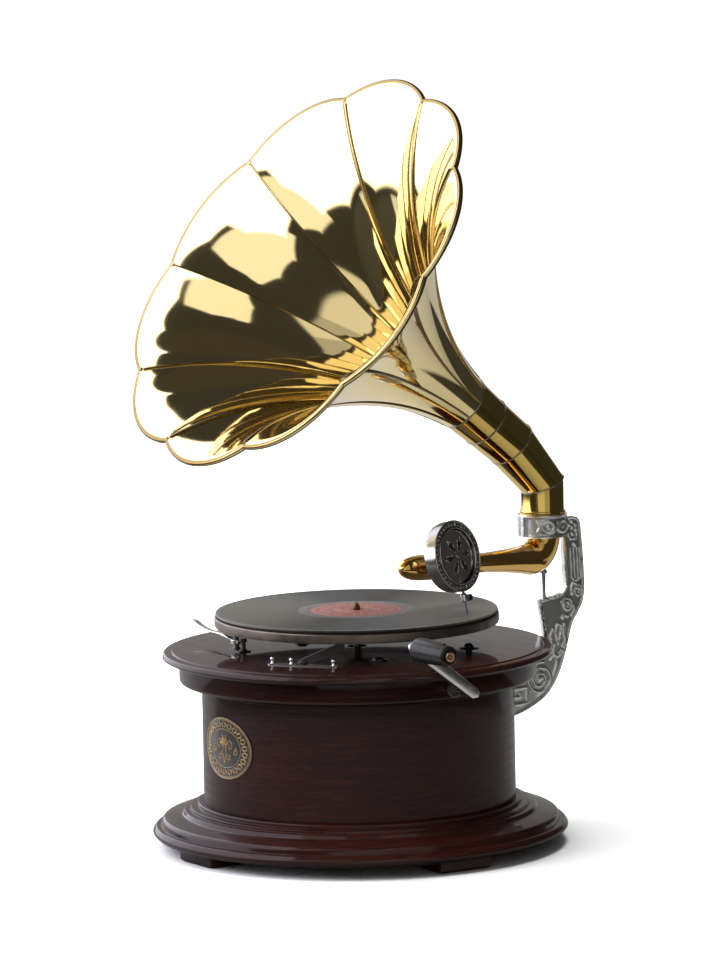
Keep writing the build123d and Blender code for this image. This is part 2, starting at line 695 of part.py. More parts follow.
BRAKE_SPOT = (68, -99)
BRAKE_TURN = 36.5
BRAKE_LEVER_TURN = 51.6
with BuildPart(level(DECK_TOP, *BRAKE_SPOT, BRAKE_TURN)) as brake_plate:
    Box(66, 8, 1.2, align=(Align.CENTER, Align.CENTER, Align.MIN))
    fillet(brake_plate.edges().filter_by(Axis.Z), radius=2.5)
    Cylinder(1.8, 6, align=(Align.CENTER, Align.CENTER, Align.MIN))

with BuildPart(level(DECK_TOP + 1.2, *BRAKE_SPOT, BRAKE_TURN)) as brake_screws:
    with Locations((-29, 0), (-11, 0), (29, 0)):
        Cylinder(1.3, 3.4, align=(Align.CENTER, Align.CENTER, Align.MIN))
        with Locations((0, 0, 4.2)):
            Sphere(2.2)

with BuildPart() as brake_lever:
    with BuildSketch(upright(BRAKE_LEVER_TURN - 90, *BRAKE_SPOT)):
        with BuildLine():
            Polyline((0, 181), (4, 181), (37, 193), (37, 205), (31, 205), (31, 199.5), (0, 184.6))
            Line((0, 184.6), (0, 181))
        make_face()
    extrude(amount=2.5, both=True)
    with BuildSketch(level(181, *BRAKE_SPOT)):
        Circle(4.5)
    extrude(amount=3.6)
    with BuildSketch(level(180, *BRAKE_SPOT)):
        Circle(1.8 + FIT)
    extrude(amount=6, mode=Mode.SUBTRACT)

STOP_SPOT = (-50, -96)
STOP_TURN = 173.3
with BuildPart(level(DECK_TOP, *STOP_SPOT, STOP_TURN)) as stop_stand:
    with Locations((-6, 0)):
        Box(26, 12, 1.2, align=(Align.CENTER, Align.CENTER, Align.MIN))
    fillet(stop_stand.edges().filter_by(Axis.Z), radius=3)
    Cylinder(2.2, 13.5, align=(Align.CENTER, Align.CENTER, Align.MIN))
    with Locations((-14, 0)):
        Cylinder(2.2, 11, align=(Align.CENTER, Align.CENTER, Align.MIN))

with BuildPart() as stop_lever:
    with BuildSketch(upright(STOP_TURN - 90, *STOP_SPOT)):
        with BuildLine():
            over = Spline((0, 187.6), (30, 186.2), (56, 183.6), (76, 187.4), (92, 192.6), (102, 192.2))
            under = Spline((0, 186), (30, 184.6), (56, 182), (76.6, 185.8), (92.5, 191), (102, 190.6))
            Line(over @ 0, under @ 0)
            Line(over @ 1, under @ 1)
        make_face()
    extrude(amount=3.6, both=True)
    with BuildSketch(level(184.6, *STOP_SPOT)):
        Circle(5.5)
    extrude(amount=4.4)
    with BuildSketch(level(180, *STOP_SPOT)):
        Circle(2.2 + FIT)
    extrude(amount=20, mode=Mode.SUBTRACT)

with BuildPart(level(DECK_TOP + 0.1, *KNOB_SPOT)) as speed_knob:
    Cylinder(3, 4.5, align=(Align.CENTER, Align.CENTER, Align.MIN))
    with Locations((0, 0, 4.5)):
        Cylinder(9, 1.2, align=(Align.CENTER, Align.CENTER, Align.MIN))
        Cylinder(4.6, 5, align=(Align.CENTER, Align.CENTER, Align.MIN))
    fillet(speed_knob.faces().sort_by(Axis.Z)[-1].edges(), radius=3)
    with Locations((0, 0, 0.5)):
        Cylinder(3, 14, align=(Align.CENTER, Align.CENTER, Align.MAX))
    with Locations((0, 0, -13)):
        Cylinder(7, 2.5, align=(Align.CENTER, Align.CENTER, Align.MAX))

# ---------------------------------------------------------------- cast bracket at the back

BRACKET_T = 10.0
BRACKET_PLANE = upright(0)
BRACKET_BELLY = (
    (141, 97),
    (166, 98.8),
    (187, 106),
    (202, 115.4),
    (213.5, 130.5),
    (221.8, 150),
    (229.7, 176.5),
)
BRACKET_LEG = ((229.7, 176.5), (236, 187), (242.4, 197), (244.2, 214.5), (243, 243), (240.5, 266))

with BuildPart() as back_bracket:
    with BuildSketch(BRACKET_PLANE):
        with BuildLine():
            Line((141, 140), (141, 97))
            Spline(*BRACKET_BELLY)
            Spline(*BRACKET_LEG)
            ThreePointArc((240.5, 266), (235.5, 278), (224, RING_TOP))
            Polyline((224, RING_TOP), (217, RING_TOP), (217, RING_BOTTOM), (222, RING_BOTTOM))
            Line((222, RING_BOTTOM), (224.2, 216))
            ThreePointArc((224.2, 216), (220.4, 206.6), (212, 203.6))
            Polyline((212, 203.6), (196, 202), (199, 184), (200.5, 166))
            Spline((200.5, 166), (190, 152), (172, 144), (141, 140))
        make_face()
    extrude(amount=BRACKET_T / 2, both=True)
    with BuildSketch(level(RING_BOTTOM, y=PIVOT_Y)):
        Circle(22.8)
    extrude(amount=RING_TOP - RING_BOTTOM)
    with BuildSketch(level(RING_BOTTOM, y=PIVOT_Y)):
        Circle(17.5)
    extrude(amount=RING_TOP - RING_BOTTOM, mode=Mode.SUBTRACT)
    with BuildSketch(level(PAD_BOTTOM)):
        with BuildLine():
            pad_half = 8.0
            for radius in (DRUM_R, DRUM_R + 4):
                CenterArc((0, 0), radius, 90 - pad_half, 2 * pad_half)
            for turn in (90 - pad_half, 90 + pad_half):
                PolarLine((DRUM_R * cos(radians(turn)), DRUM_R * sin(radians(turn))), 4, turn)
        make_face()
    extrude(amount=PAD_TOP - PAD_BOTTOM)
    with BuildSketch(level(PAD_BOTTOM - 1)):
        Circle(DRUM_R)
    extrude(amount=60, mode=Mode.SUBTRACT)
    with BuildSketch(upright(90, y=DRUM_R - 10)):
        with Locations(*PAD_SCREWS):
            Circle(PAD_SCREW_R)
    extrude(amount=30, mode=Mode.SUBTRACT)

with BuildPart() as bracket_screws:
    with BuildSketch(upright(90, y=DRUM_R - DRUM_WALL)):
        with Locations(*PAD_SCREWS):
            Circle(PAD_SCREW_R)
    extrude(amount=DRUM_WALL + 5)
    with BuildSketch(upright(90, y=DRUM_R + 4.1)):
        with Locations(*PAD_SCREWS):
            Circle(3.4)
    extrude(amount=2)

PIN_TOP = ARM_Z + ELBOW_REACH - sqrt((ELBOW_R + ARM_R) ** 2 - ELBOW_R**2) - 1.8
with BuildPart() as support_pin:
    with BuildSketch(level(202.8, y=PIVOT_Y)):
        Circle(1.6)
    extrude(amount=PIN_TOP - 3 - 202.8)
    with BuildSketch(level(PIN_TOP - 4.6, y=PIVOT_Y)):
        Circle(3.2)
    extrude(amount=4)

# ---------------------------------------------------------------- tone arm

ELBOW_AXIS = Axis(place(0, PIVOT_Y, ARM_Z + ELBOW_REACH) + ARM_FORWARD * ELBOW_R, -ARM_SIDE)

with BuildPart() as tonearm:
    for wall, mode in ((0, Mode.ADD), (ARM_WALL, Mode.SUBTRACT)):
        with BuildSketch(level(ARM_Z + ELBOW_REACH, y=PIVOT_Y)):
            Circle(ARM_R - wall)
        extrude(amount=RING_TOP - 1 - ARM_Z - ELBOW_REACH, mode=mode)
        with BuildSketch(level(ARM_Z + ELBOW_REACH, y=PIVOT_Y)):
            Circle(ARM_R - wall)
        revolve(axis=ELBOW_AXIS, revolution_arc=90 + ARM_RISE, mode=mode)
        for along, radius in ARM_SECTIONS:
            with BuildSketch(arm_plane(along)):
                Circle(radius - wall)
        loft(ruled=True, mode=mode)

SOCKET_END = ARM_LENGTH + 0.5
SOCKET_R = ARM_END_R + FIT
with BuildPart() as arm_knuckle:
    with BuildSketch(Plane(arm_plane(0).origin, x_dir=ARM_DIRECTION, z_dir=ARM_SIDE)):
        with BuildLine():
            Polyline((KNUCKLE_END, 0), (SOCKET_END, 0), (SOCKET_END, SOCKET_R), (KNUCKLE_START, SOCKET_R))
            Line((KNUCKLE_START, SOCKET_R), (KNUCKLE_START, 10))
            ThreePointArc((KNUCKLE_START, 10), (KNUCKLE_START + 0.8, 11), (KNUCKLE_START + 2.5, 11.4))
            Spline((KNUCKLE_START + 2.5, 11.4), (185, 11.5), (200, 10), (209, 6.6), (KNUCKLE_END, 0))
        make_face()
    revolve(axis=Axis(arm_plane(0).origin, ARM_DIRECTION))
    with BuildSketch(box_plane(4)):
        Circle(7)
    extrude(amount=BOX_BACK - 4)
    with BuildSketch(box_plane(0)):
        Circle(5.5)
    extrude(amount=BOX_BACK, mode=Mode.SUBTRACT)
    with BuildSketch(arm_plane(ARM_LENGTH)):
        Circle(8.2)
    extrude(amount=40, mode=Mode.SUBTRACT)

# ---------------------------------------------------------------- sound box

BAR_OUT = 8.4
CHUCK_TOP, CHUCK_BOTTOM = -33.4, -41.5
NEEDLE_TIP = (RECORD_TOP + 0.1 - box_plane(BOX_BACK + BAR_OUT).origin.Z) / cos(radians(BOX_TILT))
BAR_PLANE = Plane(box_plane(BOX_BACK + BAR_OUT).origin, x_dir=BOX_DIRECTION, z_dir=box_plane(0).y_dir)

with BuildPart() as soundbox_case:
    with BuildSketch(box_plane(BOX_BACK)):
        Circle(BOX_R)
    extrude(amount=BOX_T)
    with BuildSketch(box_plane(BOX_BACK + 1.6)):
        Circle(BOX_R - 3)
    extrude(amount=BOX_T - 3, mode=Mode.SUBTRACT)
    with BuildSketch(box_plane(BOX_BACK)):
        Circle(5.5)
    extrude(amount=5, mode=Mode.SUBTRACT)
    with BuildSketch(box_plane(BOX_BACK + BOX_T - 2)):
        Circle(BOX_R - 4.5)
    extrude(amount=5, mode=Mode.SUBTRACT)
    with BuildSketch(BAR_PLANE.offset(-BOX_R - 1)):
        Rectangle(3.2, 4)
    extrude(amount=6, mode=Mode.SUBTRACT)
    fillet(soundbox_case.edges().filter_by(GeomType.CIRCLE).group_by(SortBy.RADIUS)[-1], radius=1)

with BuildPart() as soundbox_grille:
    with BuildSketch(box_plane(BOX_BACK + 11)):
        Circle(BOX_R - 4.6)
        Circle(1.6, mode=Mode.SUBTRACT)
        with PolarLocations(13, 6):
            Ellipse(6, 2.4, mode=Mode.SUBTRACT)
    extrude(amount=1.2)

with BuildPart() as soundbox_diaphragm:
    with BuildSketch(box_plane(BOX_BACK + 5.5)):
        Circle(BOX_R - 3)
    extrude(amount=0.4)

with BuildPart() as needle_bar:
    with BuildSketch(BAR_PLANE.offset(CHUCK_TOP)):
        Rectangle(1.8, 3)
    extrude(amount=-CHUCK_TOP)
    with BuildSketch(box_plane(BOX_BACK + 5.9)):
        Circle(1.2)
    extrude(amount=3)
    with BuildSketch(BAR_PLANE.offset(CHUCK_BOTTOM)):
        Circle(3)
    extrude(amount=CHUCK_TOP - CHUCK_BOTTOM)
    with BuildSketch(BAR_PLANE.offset(CHUCK_BOTTOM)):
        Circle(0.8)
    extrude(amount=6.5, mode=Mode.SUBTRACT)
    with BuildSketch(box_plane(BOX_BACK + BAR_OUT)):
        with Locations((0, -38)):
            Circle(1 + FIT)
    extrude(amount=5, mode=Mode.SUBTRACT)

with BuildPart() as needle_screw:
    with BuildSketch(box_plane(BOX_BACK + BAR_OUT + 0.9)):
        with Locations((0, -38)):
            Circle(1)
    extrude(amount=4)
    with BuildSketch(box_plane(BOX_BACK + BAR_OUT + 3.4)):
        with Locations((0, -38)):
            RegularPolygon(3, 12)
    extrude(amount=5)

with BuildPart() as needle:
    with BuildSketch(BAR_PLANE.offset(NEEDLE_TIP + 4)):
        Circle(0.75)
    extrude(amount=-35.2 - NEEDLE_TIP - 4)
    with BuildSketch(BAR_PLANE.offset(NEEDLE_TIP + 4)):
        Circle(0.75)
    with BuildSketch(BAR_PLANE.offset(NEEDLE_TIP)):
        Circle(0.12)
    loft()

# ---------------------------------------------------------------- horn

COLLAR_BOTTOM = RING_TOP + 0.1
JOINT_SLOPES = (69.2, 43.6, 38.9, 36.45)
MITRE = horn_plane(NECK_JOINTS[0][0], NECK_JOINTS[0][1], JOINT_SLOPES[0])
BELL_SLOPE = degrees(
    atan2(MOUTH_SPOT[1] - NECK_JOINTS[-1][1], MOUTH_SPOT[0] - NECK_JOINTS[-1][0])
)
BELL_PLANE = horn_plane(NECK_JOINTS[-1][0], NECK_JOINTS[-1][1], BELL_SLOPE)

with BuildPart() as horn_collar:
    with BuildSketch(level(COLLAR_BOTTOM, y=PIVOT_Y)):
        Circle(COLLAR_R)
        Circle(COLLAR_R - 1, mode=Mode.SUBTRACT)
    extrude(amount=50)
    split(bisect_by=MITRE, keep=Keep.BOTTOM)
    with BuildSketch(level(COLLAR_BOTTOM, y=PIVOT_Y)):
        Circle(COLLAR_R + 1.4)
        Circle(ARM_R + 0.08, mode=Mode.SUBTRACT)
    extrude(amount=3)
    with BuildSketch(level(RING_BOTTOM + 2, y=PIVOT_Y)):
        Circle(17.42)
        Circle(ARM_R + 0.08, mode=Mode.SUBTRACT)
    extrude(amount=COLLAR_BOTTOM - RING_BOTTOM - 2)

with BuildPart() as horn_neck:
    for wall, mode in ((0, Mode.ADD), (HORN_WALL, Mode.SUBTRACT)):
        for joint, slope in zip(NECK_JOINTS, JOINT_SLOPES):
            forward, height, radius = joint
            with BuildSketch(horn_plane(forward, height, slope)):
                if forward == 0:
                    stretch = 1 / cos(radians(90 - slope))
                    Ellipse(COLLAR_R - wall, (COLLAR_R - wall) * stretch)
                else:
                    Circle(radius - wall)
        loft(ruled=True, mode=mode)

with BuildPart() as horn_petal:
    with BuildSketch(Plane.XZ):
        with BuildLine():
            stations = (0.5, 45, 90, 135, 175, 205, 218, BELL_L)
            outside = Spline(*[(bell_radius(t) + HORN_WALL / 2, t) for t in stations])
            inside = Spline(*[(bell_radius(t) - HORN_WALL / 2, t) for t in stations])
            Line(outside @ 0, inside @ 0)
            Line(outside @ 1, inside @ 1)
        make_face()
    revolve(axis=Axis.Z, revolution_arc=360 / PETALS - 0.05)

with BuildPart(BELL_PLANE) as horn_petals:
    with PolarLocations(0, PETALS):
        add(horn_petal.part)

with BuildPart(BELL_PLANE) as horn_rim_wire:
    with Locations((0, 0, BELL_L)):
        Torus(bell_radius(BELL_L) + HORN_WALL / 2 + RIM_WIRE_R + 0.1, RIM_WIRE_R)

# ---------------------------------------------------------------- files

PIECES = {
    "base_plinth": base_plinth,
    "feet": feet,
    "bottom_board": bottom_board,
    "base_screws": base_screws,
    "case_drum": case_drum,
    "frieze_ring": frieze_ring,
    "deck_board": deck_board,
    "front_badge": front_badge,
    "crank_bush": crank_bush,
    "motor_top_plate": motor_top_plate,
    "motor_bottom_plate": motor_bottom_plate,
    "motor_pillars": motor_pillars,
    "motor_spacers": motor_spacers,
    "motor_bolts": motor_bolts,
    "winding_bracket": winding_bracket,
    "governor_bearings": governor_bearings,
    "ratchet_click": ratchet_click,
    "mainspring_barrel": mainspring_barrel,
    "barrel_cover": barrel_cover,
    "mainspring": mainspring,
    "barrel_arbor": barrel_arbor,
    "ratchet_wheel": ratchet_wheel,
    "bevel_wheel": bevel_wheel,
    "bevel_pinion": bevel_pinion,
    "crank_shaft": crank_shaft,
    "crank_arm": crank_arm,
    "crank_grip": crank_grip,
    "grip_rivet": grip_rivet,
    "intermediate_arbor": intermediate_arbor,
    "intermediate_wheel": intermediate_wheel,
    "spindle": spindle,
    "worm_wheel": worm_wheel,
    "governor_shaft": governor_shaft,
    "friction_disc": friction_disc,
    "governor_springs": governor_springs,
    "governor_weights": governor_weights,
    "turntable_platter": turntable_platter,
    "turntable_felt": turntable_felt,
    "record": record,
    "brake_plate": brake_plate,
    "brake_screws": brake_screws,
    "brake_lever": brake_lever,
    "stop_stand": stop_stand,
    "stop_lever": stop_lever,
    "speed_knob": speed_knob,
    "back_bracket": back_bracket,
    "bracket_screws": bracket_screws,
    "support_pin": support_pin,
    "tonearm": tonearm,
    "arm_knuckle": arm_knuckle,
    "soundbox_case": soundbox_case,
    "soundbox_grille": soundbox_grille,
    "soundbox_diaphragm": soundbox_diaphragm,
    "needle_bar": needle_bar,
    "needle_screw": needle_screw,
    "needle": needle,
    "horn_collar": horn_collar,
    "horn_neck": horn_neck,
    "horn_petals": horn_petals,
    "horn_rim_wire": horn_rim_wire,
}

os.makedirs("parts", exist_ok=True)
for name, piece in PIECES.items():
    piece.part.label = name
    export_step(piece.part, f"parts/{name}.step")
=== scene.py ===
import json
from math import asin, atan2, cos, degrees, exp, pi, radians, sin, sqrt, tan

import bmesh
import bpy
import numpy as np
from mathutils import Matrix, Vector
from mathutils.geometry import delaunay_2d_cdt

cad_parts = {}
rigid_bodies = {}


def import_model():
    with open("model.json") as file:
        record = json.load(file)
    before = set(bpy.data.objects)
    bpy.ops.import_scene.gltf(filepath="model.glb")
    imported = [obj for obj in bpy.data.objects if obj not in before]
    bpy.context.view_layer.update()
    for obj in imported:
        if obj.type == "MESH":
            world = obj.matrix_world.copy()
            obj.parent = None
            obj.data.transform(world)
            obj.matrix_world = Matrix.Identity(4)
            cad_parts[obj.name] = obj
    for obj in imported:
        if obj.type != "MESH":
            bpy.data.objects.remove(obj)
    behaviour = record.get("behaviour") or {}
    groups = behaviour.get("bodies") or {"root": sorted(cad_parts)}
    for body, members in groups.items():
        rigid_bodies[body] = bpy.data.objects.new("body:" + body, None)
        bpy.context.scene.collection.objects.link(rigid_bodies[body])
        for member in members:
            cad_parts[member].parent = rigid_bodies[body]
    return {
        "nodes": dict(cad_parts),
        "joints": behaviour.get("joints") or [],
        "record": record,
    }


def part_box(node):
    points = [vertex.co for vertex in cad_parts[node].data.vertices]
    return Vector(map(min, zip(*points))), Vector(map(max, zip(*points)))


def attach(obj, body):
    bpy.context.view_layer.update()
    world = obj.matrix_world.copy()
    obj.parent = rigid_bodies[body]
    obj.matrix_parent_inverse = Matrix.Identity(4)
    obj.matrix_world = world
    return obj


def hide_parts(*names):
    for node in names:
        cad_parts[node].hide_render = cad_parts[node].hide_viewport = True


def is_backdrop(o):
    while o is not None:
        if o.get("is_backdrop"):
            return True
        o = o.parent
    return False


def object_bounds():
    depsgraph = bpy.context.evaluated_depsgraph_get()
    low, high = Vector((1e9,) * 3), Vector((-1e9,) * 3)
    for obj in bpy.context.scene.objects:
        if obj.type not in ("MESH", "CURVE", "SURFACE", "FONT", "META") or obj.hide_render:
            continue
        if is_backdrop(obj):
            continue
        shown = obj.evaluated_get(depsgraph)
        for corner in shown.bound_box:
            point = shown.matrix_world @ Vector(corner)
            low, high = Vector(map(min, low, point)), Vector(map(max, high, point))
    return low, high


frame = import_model()
cad_low, cad_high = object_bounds()

# Everything is worked out in millimetres from the turntable's spindle and turned into metres of
# the shared frame by a placing matrix. Points of the machine come from the CAD's own boxes.

MM = 0.001
SIDES = 192
FINE_SIDES = 256
TURN = 2 * pi
CAMERA_TURN = radians(-32)
JOINTS = {joint["name"]: joint for joint in frame["joints"]}


def middle(node):
    """Middle of a CAD node's box, in metres."""
    low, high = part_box(node)
    return (low + high) / 2


SPINDLE = Vector((middle("record").x, middle("record").y, 0))


def height(node, end=1):
    """Height of a CAD node's top, or of its bottom when end is 0, in millimetres."""
    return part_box(node)[end].z / MM


def span(node):
    """Where a CAD node starts along X from the spindle, and how long it is, in millimetres."""
    low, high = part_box(node)
    return (low.x - SPINDLE.x) / MM, (high.x - low.x) / MM


def reach(node):
    """Radius of a round CAD node about the spindle, in millimetres."""
    low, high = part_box(node)
    return (high.x - low.x) / 2 / MM


def joint_spot(name):
    """A joint's place from the spindle, in millimetres."""
    place = Vector(JOINTS[name]["pos_m"])
    return [(place[i] - SPINDLE[i]) / MM for i in range(3)]


def axes(origin, x_dir, z_dir):
    """Matrix from millimetres in a turned local frame to metres."""
    z = Vector(z_dir).normalized()
    y = z.cross(Vector(x_dir)).normalized()
    x = y.cross(z)
    turned = Matrix((x, y, z)).transposed().to_4x4()
    return Matrix.Translation(origin) @ turned @ Matrix.Scale(MM, 4)


def spot(x, y, z):
    """Point of the shared frame, from millimetres."""
    return SPINDLE + Vector((x, y, z)) * MM


def flat(x=0.0, y=0.0, z=0.0, turn=0.0):
    """Upright frame, x, y from the spindle and turned about Z by degrees."""
    return axes(spot(x, y, z), (cos(radians(turn)), sin(radians(turn)), 0), (0, 0, 1))


UPRIGHT = flat()

# ---------------------------------------------------------------- mesh code


def rounded(corners, cuts=4):
    """Closed outline through (x, y) corners, rounded where a radius follows."""
    outline = []
    for index, corner in enumerate(corners):
        point = Vector(corner[:2])
        if len(corner) < 3:
            outline.append(point)
            continue
        back = Vector(corners[index - 1][:2]) - point
        on = Vector(corners[(index + 1) % len(corners)][:2]) - point
        cut = min(corner[2] / tan(back.angle(on) / 2), back.length * 0.49, on.length * 0.49)
        start, end = point + back.normalized() * cut, point + on.normalized() * cut
        for step in range(cuts + 1):
            t = step / cuts
            outline.append(start * (1 - t) ** 2 + point * 2 * t * (1 - t) + end * t * t)
    return outline


def rectangle(low_x, high_x, low_y, high_y, radius, cuts=4):
    return rounded([(low_x, low_y, radius), (high_x, low_y, radius), (high_x, high_y, radius),
                    (low_x, high_y, radius)], cuts)


def curve(points, cuts=8):
    """Smooth line through points of any dimension (Catmull-Rom)."""
    points = [Vector(p) for p in points]
    last = len(points) - 1
    line = []
    for index in range(last):
        a, b, c, d = (points[min(max(index + k, 0), last)] for k in (-1, 0, 1, 2))
        for step in range(cuts):
            t = step / cuts
            line.append((b * 2 + (c - a) * t + (a * 2 - b * 5 + c * 4 - d) * t * t
                         + (b * 3 - a - c * 3 + d) * t**3) * 0.5)
    line.append(points[-1])
    return line


def skin(rings, loop=False):
    """Surface through closed rings of equal count; a ring of one point closes an end."""
    points, faces, starts = [], [], []
    for ring in rings:
        starts.append(len(points))
        points += ring
    pairs = [(k, k + 1) for k in range(len(rings) - 1)]
    if loop:
        pairs.append((len(rings) - 1, 0))
    for a, b in pairs:
        count = max(len(rings[a]), len(rings[b]))
        for i in range(count):
            j = (i + 1) % count
            corners = [(a, i), (a, j), (b, j), (b, i)]
            face = []
            for ring, place in corners:
                index = starts[ring] + (place if len(rings[ring]) > 1 else 0)
                if index not in face:
                    face.append(index)
            if len(face) > 2:
                faces.append(face)
    return points, faces


def lathe(outline, place=UPRIGHT, steps=SIDES, shape=None):
    """Turned solid from (radius, height) points; shape(radius, height, angle) may reshape it."""
    rings = []
    poles = 0
    for radius, up in outline:
        if radius < 1e-4:
            rings.append([place @ Vector((0, 0, up))])
            poles += 1
            continue
        ring = []
        for step in range(steps):
            angle = TURN * step / steps
            r, h = shape(radius, up, angle) if shape else (radius, up)
            ring.append(place @ Vector((r * cos(angle), r * sin(angle), h)))
        rings.append(ring)
    return skin(rings, loop=poles < 2)


def sweep(path, radius, place=UPRIGHT, sides=12, loop=False, wide=1.0):
    """Round or flattened bar along a line of 3-D points in millimetres."""
    path = [Vector(p) for p in path]
    count = len(path)
    radii = radius if isinstance(radius, (list, tuple)) else [radius] * count
    up = Vector((0, 0, 1))
    first = path[1] - path[0]
    if abs(first.normalized().z) > 0.9:
        up = Vector((1, 0, 0))
    side = first.cross(up).normalized()
    rings = []
    for index, point in enumerate(path):
        before = path[index - 1] if index or loop else point
        after = path[(index + 1) % count] if index < count - 1 or loop else point
        along = (after - before).normalized()
        side = (side - along * side.dot(along)).normalized()
        other = along.cross(side)
        rings.append([
            place @ (point + side * (cos(TURN * k / sides) * radii[index] * wide)
                     + other * (sin(TURN * k / sides) * radii[index]))
            for k in range(sides)
        ])
    if loop:
        return skin(rings, loop=True)
    return skin([[place @ path[0]], *rings, [place @ path[-1]]])


def inside(x, y, loop):
    """Whether a point lies inside a closed line."""
    hit = False
    for index in range(len(loop)):
        (ax, ay), (bx, by) = loop[index - 1][:2], loop[index][:2]
        if (ay > y) != (by > y) and x < (bx - ax) * (y - ay) / (by - ay) + ax:
            hit = not hit
    return hit


def distance(xy, line, loop=False):
    """Distance of many points, rows of an array, from a line of points."""
    line = np.array([tuple(p)[:2] for p in line], float)
    ends = np.roll(line, -1, 0) if loop else line[1:]
    starts = line if loop else line[:-1]
    best = np.full(len(xy), 1e9)
    for a, b in zip(starts, ends):
        step = b - a
        t = np.clip(((xy - a) @ step) / max(step @ step, 1e-12), 0, 1)
        best = np.minimum(best, np.linalg.norm(xy - a - t[:, None] * step, axis=1))
    return best


def slab(outline, place, front, back, holes=(), cell=0.0):
    """Flat piece between two heights, each a number or a function of an array of points."""
    loops = [outline, *holes]
    points = [Vector(p[:2]) for loop in loops for p in loop]
    edges, start = [], 0
    for loop in loops:
        edges += [(start + i, start + (i + 1) % len(loop)) for i in range(len(loop))]
        start += len(loop)
    if cell:
        across, up = np.meshgrid(*(np.arange(min(side), max(side), cell)
                                   for side in ([p[0] for p in outline], [p[1] for p in outline])))
        grid = np.column_stack((across.ravel(), up.ravel()))
        far = np.min([distance(grid, loop, True) for loop in loops], axis=0)
        for x, y in grid[far > cell * 0.45]:
            if inside(x, y, outline) and not any(inside(x, y, hole) for hole in holes):
                points.append(Vector((x, y)))
    flat_points, _, triangles, *_ = delaunay_2d_cdt(points, edges, [], 0, 1e-6)
    kept = []
    for triangle in triangles:
        x = sum(flat_points[i].x for i in triangle) / 3
        y = sum(flat_points[i].y for i in triangle) / 3
        if inside(x, y, outline) and not any(inside(x, y, hole) for hole in holes):
            kept.append(tuple(triangle))
    xy = np.array([tuple(p) for p in flat_points], float)
    sheets = []
    for level in (front, back):
        z = level(xy) if callable(level) else np.full(len(xy), float(level))
        sheets += [place @ Vector((x, y, h)) for (x, y), h in zip(xy, z)]
    count = len(xy)
    faces = kept + [tuple(count + i for i in reversed(t)) for t in kept]
    sides = {(t[k], t[(k + 1) % 3]) for t in kept for k in range(3)}
    faces += [(b, a, count + a, count + b) for a, b in sides if (b, a) not in sides]
    return sheets, faces


def ball(radius, place, rings=10, sides=20, squeeze=1.0):
    """Round knob head, rounded all over."""
    outline = [(radius * sin(pi * k / rings), -radius * squeeze * cos(pi * k / rings))
               for k in range(rings + 1)]
    outline[0], outline[-1] = (0, outline[0][1]), (0, outline[-1][1])
    return lathe(outline, place, sides)


def make(name, shapes, look, body, *replaced, slot, crease=32):
    """One object from shapes, each (points, faces), riding on a CAD body; crease in degrees."""
    mesh = bpy.data.meshes.new(name)
    bm = bmesh.new()
    for points, faces in shapes:
        corners = [bm.verts.new(p) for p in points]
        for face in faces:
            bm.faces.new([corners[i] for i in face])
    loose = [v for v in bm.verts if not v.link_faces]
    bmesh.ops.delete(bm, geom=loose, context="VERTS")
    bmesh.ops.recalc_face_normals(bm, faces=bm.faces)
    for face in bm.faces:
        face.smooth = True
    for edge in bm.edges:
        edge.smooth = edge.calc_face_angle(pi) < radians(crease)
    bm.to_mesh(mesh)
    bm.free()
    mesh.materials.append(look)
    made = bpy.data.objects.new(name, mesh)
    bpy.context.scene.collection.objects.link(made)
    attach(made, body)
    if replaced:
        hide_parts(*replaced)


def turn(name, corners, look, body, *replaced, place=UPRIGHT, steps=SIDES, cuts=4, **rest):
    """One object turned from a rounded outline of (radius, height) corners."""
    make(name, [lathe(rounded(corners, cuts), place, steps)], look, body, *replaced, **rest)


# ---------------------------------------------------------------- looks


